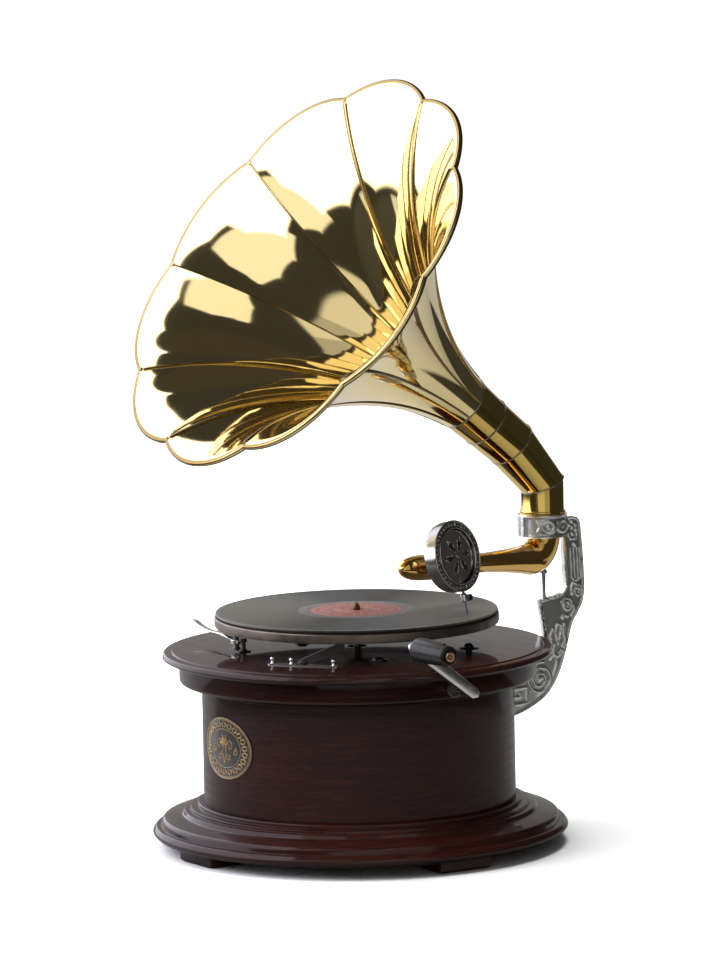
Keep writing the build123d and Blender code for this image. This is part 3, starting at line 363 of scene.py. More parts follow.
class Look:
    """Node-based material: inputs are numbers, colours or other nodes' outputs."""

    def __init__(self, name):
        self.material = bpy.data.materials.new(name)
        self.material.use_nodes = True
        self.tree = self.material.node_tree
        self.shader = self.tree.nodes["Principled BSDF"]
        self.where = self.node("ShaderNodeTexCoord").outputs["Object"]

    def node(self, kind, **inputs):
        made = self.tree.nodes.new(kind)
        for key, value in inputs.items():
            if key.startswith("set_"):
                setattr(made, key[4:], value)
            else:
                self.put(made, key.replace("_", " "), value)
        return made

    def put(self, made, key, value):
        target = made.inputs[int(key[2:]) if key.startswith("in") and key[2:].isdigit() else key]
        if isinstance(value, bpy.types.NodeSocket):
            self.tree.links.new(value, target)
        elif isinstance(value, (tuple, list)) and len(value) == 3 and target.type == "RGBA":
            target.default_value = (*value, 1)
        else:
            target.default_value = value

    def math(self, operation, a, b=0.0):
        made = self.node("ShaderNodeMath", set_operation=operation, in0=a, in1=b)
        return made.outputs[0]

    def noise(self, scale, stretch=(1, 1, 1), detail=4.0, rough=0.55, where=None):
        """Uneven value between 0 and 1; scale is in lumps per metre."""
        moved = self.node("ShaderNodeMapping", Vector=where or self.where, Scale=stretch)
        made = self.node("ShaderNodeTexNoise", Vector=moved.outputs[0], Scale=scale,
                         Detail=detail, Roughness=rough)
        return made.outputs[0]

    def ramp(self, value, *stops):
        """Colour or grey that follows a value through (position, colour) stops."""
        made = self.node("ShaderNodeValToRGB", Fac=value)
        ramp = made.color_ramp
        while len(ramp.elements) < len(stops):
            ramp.elements.new(0.5)
        for element, (place, colour) in zip(ramp.elements, stops):
            element.position = place
            grey = colour if isinstance(colour, tuple) else (colour,) * 3
            element.color = (*grey, 1)
        return made.outputs[0]

    def mix(self, share, a, b, how="MIX"):
        made = self.tree.nodes.new("ShaderNodeMix")
        made.data_type = "RGBA"
        made.blend_type = how
        for key, value in ((0, share), (6, a), (7, b)):
            self.put(made, f"in{key}", value)
        return made.outputs[2]

    def bump(self, value, depth, strength=1.0, after=None):
        made = self.node("ShaderNodeBump", Height=value, Distance=depth, Strength=strength)
        if after:
            self.put(made, "Normal", after)
        return made.outputs[0]

    def set(self, **inputs):
        for key, value in inputs.items():
            self.put(self.shader, key.replace("_", " "), value)
        return self.material


def metal_look(name, colour, rough=0.12, dirt=0.15, bump=0.00002, scale=60, dark=None, wave=0.0):
    """Polished or satin metal with faint smears, small dents, slight tarnish and beaten waves.

    Depths are in metres, and dark is the colour where the tarnish is thick.
    """
    look = Look(name)
    smear = look.noise(scale, (1, 1, 0.35), 5)
    fine = look.noise(scale * 22, (1, 1, 1), 3)
    tarnish = look.ramp(look.noise(scale * 0.35, detail=6), (0.42, 0.0), (0.75, 1.0))
    shade = dark or tuple(c * 0.6 for c in colour)
    tint = look.mix(look.math("MULTIPLY", tarnish, dirt), colour, shade)
    beaten = look.bump(look.noise(6, detail=0), wave) if wave else None
    return look.set(
        Base_Color=tint,
        Metallic=1.0,
        Roughness=look.ramp(smear, (0.3, rough * 0.8), (0.7, rough * 1.45)),
        Normal=look.bump(fine, bump, 0.5, beaten),
    )


def wire_look(name, facing_highlight, middle_shade, edge_shade, stain):
    """Metal with painted shade: its colour darkens where its round side turns away from the view, such as a
    bead or a seam, and is lightest where it faces the view, a painted highlight.
    """
    look = Look(name)
    turned = look.node("ShaderNodeLayerWeight", Blend=0.5).outputs["Facing"]
    smear = look.noise(90, detail=4)
    # Painted highlight facing the view, painted shade at the turned-away edges; the stain patches are the
    # metal's own.
    tint = look.ramp(turned, (0.1, facing_highlight), (0.38, middle_shade), (0.7, edge_shade))
    return look.set(
        Base_Color=look.mix(look.ramp(smear, (0.45, 0.0), (0.8, 0.6)), tint, stain),
        Metallic=1.0,
        Roughness=look.ramp(smear, (0.3, 0.12), (0.7, 0.24)),
        Normal=look.bump(look.noise(400, detail=3), 0.00004, 0.4),
    )


def wood_look(name, along, varnish=0.5):
    """Dark polished wood; along stretches the grain: small numbers run with it."""
    look = Look(name)
    warp = look.noise(9, along, 3)
    grain = look.noise(34, along, 9, 0.62)
    pores = look.noise(170, along, 4, 0.7)
    cloud = look.noise(5.5, (1, 1, 1.6), 3)
    base = look.ramp(grain, (0.30, (0.0085, 0.0030, 0.0026)), (0.52, (0.019, 0.0062, 0.0048)),
                     (0.74, (0.040, 0.0125, 0.0085)))
    red = look.mix(look.ramp(cloud, (0.35, 0.0), (0.7, 0.75)), base, (0.036, 0.0070, 0.0052))
    tint = look.mix(look.ramp(pores, (0.42, 0.55), (0.56, 0.0)), red, (0.004, 0.0018, 0.0016))
    waves = look.bump(warp, 0.0005, 0.10)
    lines = look.bump(grain, 0.00010, 0.22, waves)
    scuffs = look.ramp(look.noise(24, (1, 1, 1), 7, 0.7), (0.35, 0.03), (0.75, 0.09))
    return look.set(
        Base_Color=tint,
        Roughness=look.ramp(grain, (0.3, 0.34), (0.7, 0.48)),
        Normal=lines,
        Coat_Weight=varnish,
        Coat_Roughness=scuffs,
        Coat_IOR=1.5,
        Coat_Normal=look.bump(look.noise(55, along, 4), 0.00012, 0.25, waves),
        Specular_IOR_Level=0.05,
    )


def plastic_look(name, colour, rough, scale=90.0, coat=0.3, bump=0.0001, light=None, shine=0.5):
    """Painted or moulded surface with uneven gloss and fine texture."""
    look = Look(name)
    patch = look.noise(scale, detail=6)
    fine = look.noise(scale * 9, detail=3)
    tint = look.mix(look.ramp(patch, (0.35, 0.0), (0.75, 1.0)), colour,
                    light or tuple(c * 1.7 + 0.004 for c in colour))
    return look.set(
        Base_Color=tint,
        Roughness=look.ramp(patch, (0.3, rough * 0.8), (0.7, rough * 1.3)),
        Normal=look.bump(fine, bump, 0.5),
        Specular_IOR_Level=shine,
        Coat_Weight=coat,
        Coat_Roughness=0.12,
    )


TURNED_GRAIN = (0.35, 0.35, 7.0)
TURNED_WOOD = wood_look("turned_wood", TURNED_GRAIN, 0.42)
DRUM_WOOD = wood_look("drum_wood", TURNED_GRAIN, 0.24)
BOARD_WOOD = wood_look("board_wood", (0.3, 3.0, 1.0))
PLAIN_WOOD = plastic_look("plain_wood", (0.16, 0.09, 0.05), 0.7, 40, 0.0, light=(0.24, 0.15, 0.09))
HORN_BRASS = metal_look("horn_brass", (0.92, 0.75, 0.38), 0.05, 0.2, 0.000010, 26,
                        (0.74, 0.55, 0.22), 0.007)
DARK_BRASS = metal_look("arm_brass", (0.80, 0.50, 0.15), 0.075, 0.35, 0.000015, 40,
                        (0.45, 0.22, 0.06))
GEAR_BRASS = metal_look("gear_brass", (0.70, 0.52, 0.26), 0.25, 0.4)
# Rim bead, seams and sound box shell: painted shade at their turned-away edges and a painted highlight where
# they face the view.
WIRE_BRASS = wire_look("rim_brass", (0.86, 0.70, 0.34), (0.36, 0.24, 0.075),
                       (0.06, 0.04, 0.014), (0.26, 0.17, 0.05))
BOX_PLATE = wire_look("box_plate", (0.62, 0.61, 0.58), (0.50, 0.49, 0.47),
                      (0.07, 0.07, 0.065), (0.34, 0.34, 0.32))
# Brass painted very dark as painted shade, for the spindle under the platter; its tarnish patches are the
# metal's own.
SHADE_DARK_BRASS = metal_look("shade_dark_brass", (0.14, 0.085, 0.045), 0.3, 0.6, 0.00005, 120)
NECK_BRASS = metal_look("neck_brass", (0.70, 0.50, 0.14), 0.07, 0.3, 0.000015, 40,
                        (0.46, 0.29, 0.07), 0.002)
SOLDER = metal_look("solder_grey", (0.34, 0.34, 0.33), 0.38, 0.5, 0.00006, 220)
CHROME = metal_look("chrome_plate", (0.64, 0.63, 0.60), 0.06, 0.25, 0.000012, 70)
NICKEL = metal_look("nickel_plate", (0.66, 0.64, 0.60), 0.2, 0.35, 0.00003, 90)
STEEL = metal_look("machined_steel", (0.40, 0.40, 0.40), 0.33, 0.4, 0.00004, 120)
BLUED = metal_look("blued_spring", (0.14, 0.16, 0.22), 0.3, 0.4)
COPPER = metal_look("rivet_copper", (0.62, 0.33, 0.20), 0.22, 0.5)
PLATTER_METAL = metal_look("platter_metal", (0.20, 0.165, 0.14), 0.36, 0.7, 0.00006, 90,
                           (0.09, 0.075, 0.062))
BLACK = plastic_look("black_moulded", (0.006, 0.0058, 0.0055), 0.3, 120, 0.0, shine=0.25)
BLACK_LACQUER = plastic_look("black_lacquer", (0.012, 0.010, 0.009), 0.3, 200, 0.3)
FELT = plastic_look("felt", (0.035, 0.025, 0.02), 0.95, 500, 0.0, 0.0006)
MICA = plastic_look("mica_sheet", (0.16, 0.13, 0.09), 0.2, 140, 0.5)


def casting_look(name):
    """Bright raised casting, darker in its hollows and brightest on its raised edges; fine sandy grain from
    the mould.
    """
    look = Look(name)
    cavity = look.node("ShaderNodeNewGeometry").outputs["Pointiness"]
    # Colour follows pointiness: darker in hollows, brighter on raised edges.
    raised_share = look.ramp(cavity, (0.44, 0.0), (0.56, 1.0))
    stain = look.ramp(look.noise(130, detail=6, rough=0.65), (0.35, 0.0), (0.7, 1.0))
    low = look.mix(stain, (0.24, 0.24, 0.225), (0.52, 0.52, 0.50))
    tint = look.mix(raised_share, low, (0.95, 0.95, 0.93))
    grain = look.bump(look.noise(900, detail=3), 0.00012, 0.6)
    dents = look.bump(look.noise(160, detail=4), 0.0004, 0.35, grain)
    return look.set(
        Base_Color=tint,
        Metallic=0.95,
        Roughness=look.mix(raised_share, (0.42, 0.42, 0.42), (0.24, 0.24, 0.24)),
        Normal=dents,
    )


CAST_SILVER = casting_look("cast_silver")


def record_look(name, sheen_turn):
    """Black disc: bands of grooves, with a painted sheen in its colour that runs across them, brightest at
    two sides set by sheen_turn.
    """
    look = Look(name)
    apart = look.node("ShaderNodeSeparateXYZ", Vector=look.where)
    x = look.math("SUBTRACT", apart.outputs[0], SPINDLE.x)
    y = look.math("SUBTRACT", apart.outputs[1], SPINDLE.y)
    squares = look.math("ADD", look.math("MULTIPLY", x, x), look.math("MULTIPLY", y, y))
    radius = look.math("SQRT", squares)
    line = look.node("ShaderNodeCombineXYZ", X=radius)
    bands = look.noise(420, detail=5, rough=0.8, where=line.outputs[0])
    fine = look.noise(2600, detail=2, where=line.outputs[0])
    dust = look.noise(75, detail=8, rough=0.7)
    tint = look.ramp(bands, (0.3, (0.006, 0.006, 0.0058)), (0.7, (0.022, 0.0215, 0.020)))
    # Painted sheen: the colour is lightened in two sectors square to sheen_turn.
    sector = look.math("ARCTAN2", y, x)
    across = look.math("ABSOLUTE", look.math("SINE", look.math("SUBTRACT", sector, sheen_turn)))
    sheen_painted_tint = look.mix(look.ramp(across, (0.35, 0.0), (0.95, 1.0)), tint, (0.15, 0.142, 0.12))
    tangent = look.node("ShaderNodeTangent", set_direction_type="RADIAL", set_axis="Z")
    return look.set(
        Base_Color=look.mix(look.ramp(dust, (0.5, 0.0), (0.9, 0.35)), sheen_painted_tint, (0.085, 0.080, 0.070)),
        Roughness=look.ramp(bands, (0.3, 0.30), (0.7, 0.44)),
        Anisotropic=0.75,
        Tangent=tangent.outputs[0],
        Normal=look.bump(fine, 0.00008, 0.45),
        Specular_IOR_Level=0.4,
    )


def label_look(name, colour, faded, rough=0.55):
    """Printed paper, rubbed pale in patches."""
    look = Look(name)
    print_ = look.noise(230, detail=6, rough=0.75)
    patch = look.noise(48, detail=4)
    tint = look.mix(look.ramp(print_, (0.42, 0.0), (0.62, 0.8)), colour, faded)
    return look.set(
        Base_Color=look.mix(look.ramp(patch, (0.35, 0.0), (0.8, 0.45)), tint, faded),
        Roughness=rough,
        Normal=look.bump(print_, 0.00005, 0.4),
    )


# The disc's painted sheen is set by the camera's turn.
SHELLAC = record_look("grooved_disc", CAMERA_TURN)
LABEL_RED = label_look("label_red", (0.30, 0.075, 0.070), (0.42, 0.19, 0.16))
LABEL_CREAM = label_look("label_cream", (0.52, 0.43, 0.33), (0.34, 0.20, 0.15))
LABEL_GREY = label_look("label_grey", (0.105, 0.105, 0.10), (0.17, 0.165, 0.155), 0.42)
# Pale grey of the lead-in ring: a painted sheen on the black shellac.
LEAD_IN_SHEEN_GREY = label_look("rim_grey", (0.075, 0.074, 0.070), (0.12, 0.118, 0.11), 0.3)
BADGE_BLACK = plastic_look("badge_black", (0.014, 0.009, 0.007), 0.3, 90, 0.6)
BADGE_GOLD = plastic_look("badge_gold", (0.44, 0.30, 0.13), 0.4, 260, 0.2,
                          light=(0.26, 0.155, 0.06))

# ---------------------------------------------------------------- wooden case

PLINTH_TOP = height("base_plinth")
PLINTH_LOW = height("base_plinth", 0)
PLINTH_R = reach("base_plinth")
PLINTH_BORE_R = 126
DRUM_R = reach("case_drum")
DRUM_TOP = height("case_drum")
FRIEZE_R = reach("frieze_ring")
FRIEZE_WIDE = 29
FRIEZE_TOP = height("frieze_ring")
DECK_R = reach("deck_board")
DECK_HOLE_R = 9
DECK_TOP = height("deck_board")

turn(
    "base_plinth_turned",
    [(DRUM_R - 20, PLINTH_TOP), (DRUM_R - 20, PLINTH_LOW + 6), (PLINTH_BORE_R, PLINTH_LOW + 6),
     (PLINTH_BORE_R, PLINTH_LOW), (PLINTH_R - 4.2, PLINTH_LOW, 2.5),
     (PLINTH_R + 0.7, PLINTH_LOW + 4.9, 4), (PLINTH_R - 3.4, PLINTH_LOW + 9.8, 3),
     (PLINTH_R - 7.9, PLINTH_LOW + 10.2, 0.6), (PLINTH_R - 9.0, PLINTH_LOW + 16.6, 6),
     (PLINTH_R - 19.4, PLINTH_LOW + 19.0, 2), (PLINTH_R - 27.6, PLINTH_LOW + 20.6, 2.4),
     (PLINTH_R - 29.4, PLINTH_LOW + 24.2, 0.8), (PLINTH_R - 34.4, PLINTH_LOW + 24.8, 0.6),
     (PLINTH_R - 34.6, PLINTH_LOW + 27.2, 0.8), (DRUM_R + 5.4, PLINTH_LOW + 27.8, 0.6),
     (DRUM_R + 5.8, PLINTH_TOP + 0.1, 2.2), (DRUM_R + 0.6, PLINTH_TOP, 0.8)],
    TURNED_WOOD, "case", "base_plinth", slot="case_wood", cuts=6)
turn(
    "case_drum_turned",
    [(DRUM_R - 8, PLINTH_TOP), (DRUM_R, PLINTH_TOP, 0.4), (DRUM_R, DRUM_TOP - 5.4, 0.4),
     (DRUM_R + 1.5, DRUM_TOP - 5.0, 0.8), (DRUM_R + 1.5, DRUM_TOP, 0.6), (DRUM_R - 8, DRUM_TOP)],
    DRUM_WOOD, "case", "case_drum", slot="case_wood", steps=FINE_SIDES)
turn(
    "frieze_turned",
    [(FRIEZE_R - FRIEZE_WIDE, DRUM_TOP), (FRIEZE_R - 1.2, DRUM_TOP, 1.0),
     (FRIEZE_R, DRUM_TOP + 2.2, 1.2), (FRIEZE_R, FRIEZE_TOP - 1.2, 0.6),
     (FRIEZE_R - 1.4, FRIEZE_TOP), (FRIEZE_R - FRIEZE_WIDE, FRIEZE_TOP)],
    TURNED_WOOD, "case", "frieze_ring", slot="case_wood", steps=FINE_SIDES)
turn(
    "deck_turned",
    [(DECK_HOLE_R, DECK_TOP), (DECK_HOLE_R, FRIEZE_TOP), (DECK_R - 5.2, FRIEZE_TOP, 0.8),
     (DECK_R - 4.2, FRIEZE_TOP + 1.4, 0.6), (DECK_R + 0.4, FRIEZE_TOP + 2.4, 2.4),
     (DECK_R - 1.4, DECK_TOP - 1.6, 2.8), (DECK_R - 7.6, DECK_TOP - 1.0, 0.6),
     (DECK_R - 8.6, DECK_TOP - 1.3, 0.4), (DECK_R - 9.0, DECK_TOP, 0.6)],
    BOARD_WOOD, "case", "deck_board", slot="case_wood", steps=FINE_SIDES, cuts=6)

FOOT_HALF_L = 17
FOOT_HALF_W = 27.5
feet_start, feet_length = span("feet")
FOOT_OUT = feet_start + feet_length - FOOT_HALF_L
FOOT_TOP = height("feet")
foot_centre = Vector((FOOT_OUT, 0))
foot_line = rectangle(FOOT_OUT - FOOT_HALF_L, FOOT_OUT + FOOT_HALF_L, -FOOT_HALF_W, FOOT_HALF_W, 5, 2)
foot_shapes = []
for quarter in range(4):
    place = flat(turn=90 * quarter)
    rings = [[place @ Vector((*(foot_centre + (p - foot_centre) * shrink), up)) for p in foot_line]
             for up, shrink in ((0, 0.93), (0.6, 0.965), (1.6, 1.0), (FOOT_TOP, 1.0))]
    ends = [[place @ Vector((FOOT_OUT, 0, up))] for up in (0, FOOT_TOP)]
    foot_shapes.append(skin([ends[0], *rings, ends[1]]))
make("feet_blocks", foot_shapes, TURNED_WOOD, "case", "feet", slot="case_wood", crease=25)

# Oval badge: a thin plate bent round the drum, with a generic scroll and border in gold
badge_low, badge_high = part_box("front_badge")
BADGE_Z = (badge_low.z + badge_high.z) / 2 / MM
BADGE_WIDE = 39.0
BADGE_TALL = (badge_high.z - badge_low.z) / 2 / MM
BADGE_FACE = 0.78


def on_drum(shape):
    """Wraps a flat shape, x to the right and z outwards, round the front of the drum."""
    points, faces = shape
    bent = []
    for p in points:
        out = DRUM_R + p.z
        angle = -pi / 2 + p.x / DRUM_R
        bent.append(spot(out * cos(angle), out * sin(angle), BADGE_Z + p.y))
    return bent, faces


def oval(share, count=96):
    """Outline at a share of the badge's size."""
    return [(BADGE_WIDE * share * cos(TURN * k / count), BADGE_TALL * share * sin(TURN * k / count))
            for k in range(count)]


def spiral(x, y, start_r, end_r, start, turns, count=28):
    """Flat spiral: angles in degrees, turns signed."""
    line = []
    for k in range(count + 1):
        t = k / count
        r = start_r + (end_r - start_r) * t
        angle = radians(start) + TURN * turns * t
        line.append((x + r * cos(angle), y + r * sin(angle)))
    return line


FLAT = Matrix.Identity(4)
plate = slab(oval(1.0), FLAT, BADGE_FACE - 0.03, 0.02, cell=4)
make("badge_plate", [on_drum(plate)], BADGE_BLACK, "case", "front_badge", slot="badge_enamel")


def gold_line(line, width, loop=False):
    """Gold line of the badge, bent round the drum with it."""
    return on_drum(sweep([(x, y, BADGE_FACE) for x, y in line], width * 0.5, FLAT, 6, loop))


badge_lines = [gold_line(oval(share), width, True)
               for share, width in ((0.965, 1.0), (0.915, 0.4), (0.62, 0.5))]
BORDER_MARKS = 44
for k in range(BORDER_MARKS):
    angle = TURN * (k + 0.5) / BORDER_MARKS
    tilt = 0.035 if k % 2 else -0.035
    tip = [(BADGE_WIDE * r * cos(angle + a), BADGE_TALL * r * sin(angle + a))
           for r, a in ((0.685, -tilt), (0.77, tilt), (0.855, -tilt))]
    badge_lines.append(gold_line(tip, 1.3))
for flip in (-1, 1):
    for x, y, r, start, turns in ((8.6, 3.2, 5.4, 200, -1.35), (7.2, -6.8, 3.8, 120, 1.2),
                                  (16.6, -1.6, 3.6, 90, -1.2)):
        line = [(flip * px, py) for px, py in spiral(x, y, r, 0.7, start, turns)]
        badge_lines.append(gold_line(line, 0.75))
    stem = curve([(0, -13), (flip * 2.6, -4), (flip * 1.4, 5), (flip * 3.4, 12.5)], 6)
    badge_lines.append(gold_line(stem, 0.8))
for ray in (-2, -1, 0, 1, 2):
    angle = radians(90 + ray * 32)
    line = [(r * cos(angle) * 0.9, 2.0 + r * sin(angle)) for r in (2.0, 5.0, 8.5)]
    badge_lines.append(gold_line(line, 1.5))
make("badge_ornament", badge_lines, BADGE_GOLD, "case", slot="badge_enamel")

# ---------------------------------------------------------------- turntable and record

PLATTER_TOP = height("turntable_platter")
PLATTER_R = reach("turntable_platter")
PLATTER_LOW = 200.5
RECORD_TOP = height("record")
RECORD_LOW = height("record", 0)
RECORD_R = reach("record")
SPINDLE_R = 3.6
SPINDLE_LOW = 90
HUB_LOW = 193

turn(
    "platter_dish",
    [(SPINDLE_R, HUB_LOW), (14, HUB_LOW, 1), (14, HUB_LOW + 10, 1), (18, PLATTER_TOP - 2, 2),
     (PLATTER_R - 1.6, PLATTER_TOP - 2, 1), (PLATTER_R - 1.6, PLATTER_LOW, 0.3),
     (PLATTER_R - 0.3, PLATTER_LOW, 0.3), (PLATTER_R - 0.3, PLATTER_LOW + 1.0, 0.2),
     (PLATTER_R, PLATTER_LOW + 1.3, 0.2), (PLATTER_R, PLATTER_TOP, 1.4),
     (PLATTER_R - 5, PLATTER_TOP, 0.5), (SPINDLE_R, PLATTER_TOP)],
    PLATTER_METAL, "turntable", "turntable_platter", slot="black_steel", steps=FINE_SIDES)
turn(
    "felt_disc",
    [(SPINDLE_R, PLATTER_TOP), (PLATTER_R - 3, PLATTER_TOP), (PLATTER_R - 3, RECORD_LOW, 0.4),
     (SPINDLE_R, RECORD_LOW)],
    FELT, "turntable", "turntable_felt", slot="felt")

LABEL_R = 41.5
DEAD_WAX_R = 52.5
GROOVE_PITCH = 1.05
disc = rounded([(SPINDLE_R + 0.05, RECORD_LOW), (RECORD_R, RECORD_LOW, 0.7),
                (RECORD_R, RECORD_TOP, 0.7), (RECORD_R - 1.8, RECORD_TOP, 0.3)])
groove_r = RECORD_R - 5.2
while groove_r > DEAD_WAX_R + 1:
    disc += [(groove_r - offset, RECORD_TOP - depth)
             for offset, depth in ((0, 0.06), (0.35, 0.16), (0.7, 0.06))]
    groove_r -= GROOVE_PITCH
disc += [(DEAD_WAX_R, RECORD_TOP - 0.02), (SPINDLE_R + 0.05, RECORD_TOP - 0.02)]
make("record_disc", [lathe(disc, steps=FINE_SIDES)], SHELLAC, "turntable", "record", slot="shellac",
     crease=60)


def thin_ring(inner, outer, rise, sunk=0.0):
    """Flat ring on the record's face."""
    low, high = RECORD_TOP - sunk, RECORD_TOP + rise
    outline = rounded([(inner, low), (outer, low), (outer, high, 0.05), (inner, high)], 2)
    return lathe(outline, steps=128)


# The lead-in ring's pale grey is a painted sheen.
for name, look, ring in (
    ("record_lead_in", LEAD_IN_SHEEN_GREY, thin_ring(RECORD_R - 4.6, RECORD_R - 0.4, 0.12, 0.3)),
    ("record_dead_wax", LABEL_GREY, thin_ring(LABEL_R - 1, DEAD_WAX_R, 0.03, 0.05)),
    ("record_label", LABEL_RED, thin_ring(SPINDLE_R + 0.1, LABEL_R, 0.12)),
):
    make(name, [ring], look, "turntable", slot="shellac")

# The label's print is generic: rings, a wreath of leaves and plain bars where writing would be
PRINT_RISE = 0.17
WREATH_LEAVES = 30
BAR_ROWS = ((17.5, 14), (13.4, 18), (-13.4, 17), (-17.4, 12))
BAR_HALF_H = 0.9
print_shapes = [thin_ring(inner, outer, 0.16)
                for inner, outer in ((38.6, 39.3), (27.6, 28.1), (9.5, 10.2))]
for k in range(WREATH_LEAVES):
    place = flat(z=RECORD_TOP, turn=degrees(TURN * k / WREATH_LEAVES))
    tip_r = 33.8 + 1.6 * (k % 2)
    outline = rounded([(30.4, -1.3, 0.9), (tip_r, 0, 0.5), (30.4, 1.3, 0.9)], 2)
    print_shapes.append(slab(outline, place, PRINT_RISE, 0.0))
for row, (y, half) in enumerate(BAR_ROWS):
    count = 5 + row % 2
    wide = half / count * 0.72
    for k in range(count):
        x = (k - (count - 1) / 2) * 2 * half / count
        outline = rectangle(x - wide, x + wide, y - BAR_HALF_H, y + BAR_HALF_H, 0.5, 2)
        print_shapes.append(slab(outline, flat(z=RECORD_TOP), PRINT_RISE, 0.0))
make("record_label_print", print_shapes, LABEL_CREAM, "turntable", slot="shellac")

# The spindle's very dark brass is painted shade.
turn(
    "spindle_pin",
    [(0, RECORD_TOP + 6.6), (1.4, RECORD_TOP + 6.2, 0.8), (SPINDLE_R, RECORD_TOP + 2.2, 0.8),
     (SPINDLE_R, SPINDLE_LOW), (0, SPINDLE_LOW)],
    SHADE_DARK_BRASS, "turntable", "spindle", slot="gear_brass", steps=48)

# ---------------------------------------------------------------- controls on the deck

BOLT_TURN = 25
bolt_shapes = []
for x in (85, -45):
    for y in (30, -30):
        place = flat(x, y, DECK_TOP, BOLT_TURN)
        washer = rounded([(0, 0), (7.6, 0), (7.6, 0.7, 0.3), (5.2, 0.9), (0, 0.9)])
        dome = [(5 * sin(radians(a)), 0.9 + 2.6 * cos(radians(a))) for a in (90, 75, 60, 45, 30, 15)]
        shank = [(0, -35.4), (2.5, -35.4), (2.5, 0.1), (0, 0.1)]
        bolt_shapes += [lathe(washer, place, 32), lathe([(0, 0.9), (5, 0.2), *dome, (0, 3.5)], place, 32),
                        lathe(shank, place, 24)]
make("motor_bolt_heads", bolt_shapes, BLACK_LACQUER, "case", "motor_bolts", slot="nickel")

BRAKE_X, BRAKE_Y, _ = joint_spot("brake_swing")
BRAKE_TURN = 36.5
BRAKE_LEVER_TURN = 51.6
PLATE_T = 1.2
place = flat(BRAKE_X, BRAKE_Y, DECK_TOP, BRAKE_TURN)
brake_shapes = [slab(rectangle(-33, 33, -3.4, 3.4, 2.2), place, PLATE_T, 0.0),
                lathe(rounded([(0, 0), (1.8, 0), (1.8, 6, 0.4), (0, 6)]), place, 20)]
make("brake_strip", brake_shapes, NICKEL, "case", "brake_plate", slot="nickel")
head_shapes = []
for along in (-29, -11, 29):
    head = place @ Matrix.Translation((along, 0, 0))
    head_shapes.append(ball(2.3, head @ Matrix.Translation((0, 0, 5.2))))
    stem = rounded([(0, PLATE_T), (2.3, PLATE_T, 0.3), (1.5, 2.6, 0.5), (1.2, 4.6), (0, 4.6)])
    head_shapes.append(lathe(stem, head, 20))
make("brake_ball_heads", head_shapes, CHROME, "case", "brake_screws", slot="nickel")

LEVER_LOW = 181
LEVER_HIGH = 205
LEVER_HALF_W = 2.4
lever_frame = flat(BRAKE_X, BRAKE_Y, 0, BRAKE_LEVER_TURN)
side_frame = lever_frame @ Matrix.Rotation(pi / 2, 4, "X")
arm_outline = rounded([(-3.6, LEVER_LOW, 1), (4, LEVER_LOW, 2), (37, LEVER_HIGH - 12, 2),
                       (37, LEVER_HIGH, 1.2), (31, LEVER_HIGH, 1.2), (31, LEVER_HIGH - 5.5, 2),
                       (-3.6, LEVER_LOW + 3.6, 1)])
hub = rounded([(1.85, LEVER_LOW), (4.5, LEVER_LOW, 0.5), (4.5, LEVER_LOW + 3.6, 0.9),
               (1.85, LEVER_LOW + 3.6)])
pad = ball(3.1, lever_frame @ Matrix.Translation((34, 0, LEVER_HIGH - 2.4)), squeeze=0.75)
make("brake_lever_arm",
     [slab(arm_outline, side_frame, LEVER_HALF_W, -LEVER_HALF_W), lathe(hub, lever_frame, 32), pad],
     BLACK_LACQUER, "brake", "brake_lever", slot="black_steel")

STOP_X, STOP_Y, _ = joint_spot("stop_swing")
STOP_TURN = 173.3
BLADE_LOW = 184.6
place = flat(STOP_X, STOP_Y, DECK_TOP, STOP_TURN)
stand_shapes = [slab(rectangle(-19, 7, -6, 6, 3), place, PLATE_T, 0.0)]
for along, tall in ((0, 13.5), (-14, 11)):
    post = place @ Matrix.Translation((along, 0, 0))
    outline = rounded([(0, 0), (4.0, 1.2, 0.5), (2.2, 2.6, 0.6), (2.2, tall, 0.5), (0, tall)])
    stand_shapes.append(lathe(outline, post, 24))
post = place @ Matrix.Translation((-14, 0, 11))
stand_shapes.append(lathe(rounded([(0, -2.4), (3.4, -2.4, 0.8), (3.4, 0.6, 0.8), (0, 0.6)]), post, 24))
make("stop_posts", stand_shapes, BLACK_LACQUER, "case", "stop_stand", slot="nickel")

stop_frame = flat(STOP_X, STOP_Y, 0, STOP_TURN)
blade_line = curve([(-2, 0, 187.2), (30, 0, 189.6), (54, 0, 189.2), (74, 0, 190.6), (91, 0, 194.0),
                    (102, 0, 192.9)])
hub = rounded([(2.25, BLADE_LOW), (5.5, BLADE_LOW, 0.6), (5.5, BLADE_LOW + 4.4, 0.9),
               (2.25, BLADE_LOW + 4.4)])
stop_shapes = [sweep(blade_line, 0.95, stop_frame, 12, wide=3.6), lathe(hub, stop_frame, 32)]
make("stop_lever_blade", stop_shapes, NICKEL, "stop", "stop_lever", slot="nickel")

turn(
    "regulator_knob",
    [(0, 10.1), (2.6, 9.7, 1.2), (4.6, 7.4, 1.6), (4.4, 5.9, 0.6), (8.9, 5.6, 0.3), (9, 4.7, 0.4),
     (4.4, 4.5, 0.4), (3, 3.6, 0.6), (3, -13, 0.2), (7, -13, 0.4), (7, -15.4, 0.4), (0, -15.4)],
    BLACK, "regulator", "speed_knob", slot="black_moulded",
    place=flat(*joint_spot("regulator_turn")[:2], DECK_TOP), steps=48)

# ---------------------------------------------------------------- crank

CRANK_Z = joint_spot("crank_turn")[2]
_, GRIP_Y, GRIP_Z = joint_spot("grip_spin")
CRANK_ARM_X, CRANK_ARM_L = span("crank_arm")
BUSH_X, BUSH_L = span("crank_bush")
SHAFT_X, SHAFT_L = span("crank_shaft")
GRIP_X, GRIP_L = span("crank_grip")
RIVET_X, RIVET_L = span("grip_rivet")


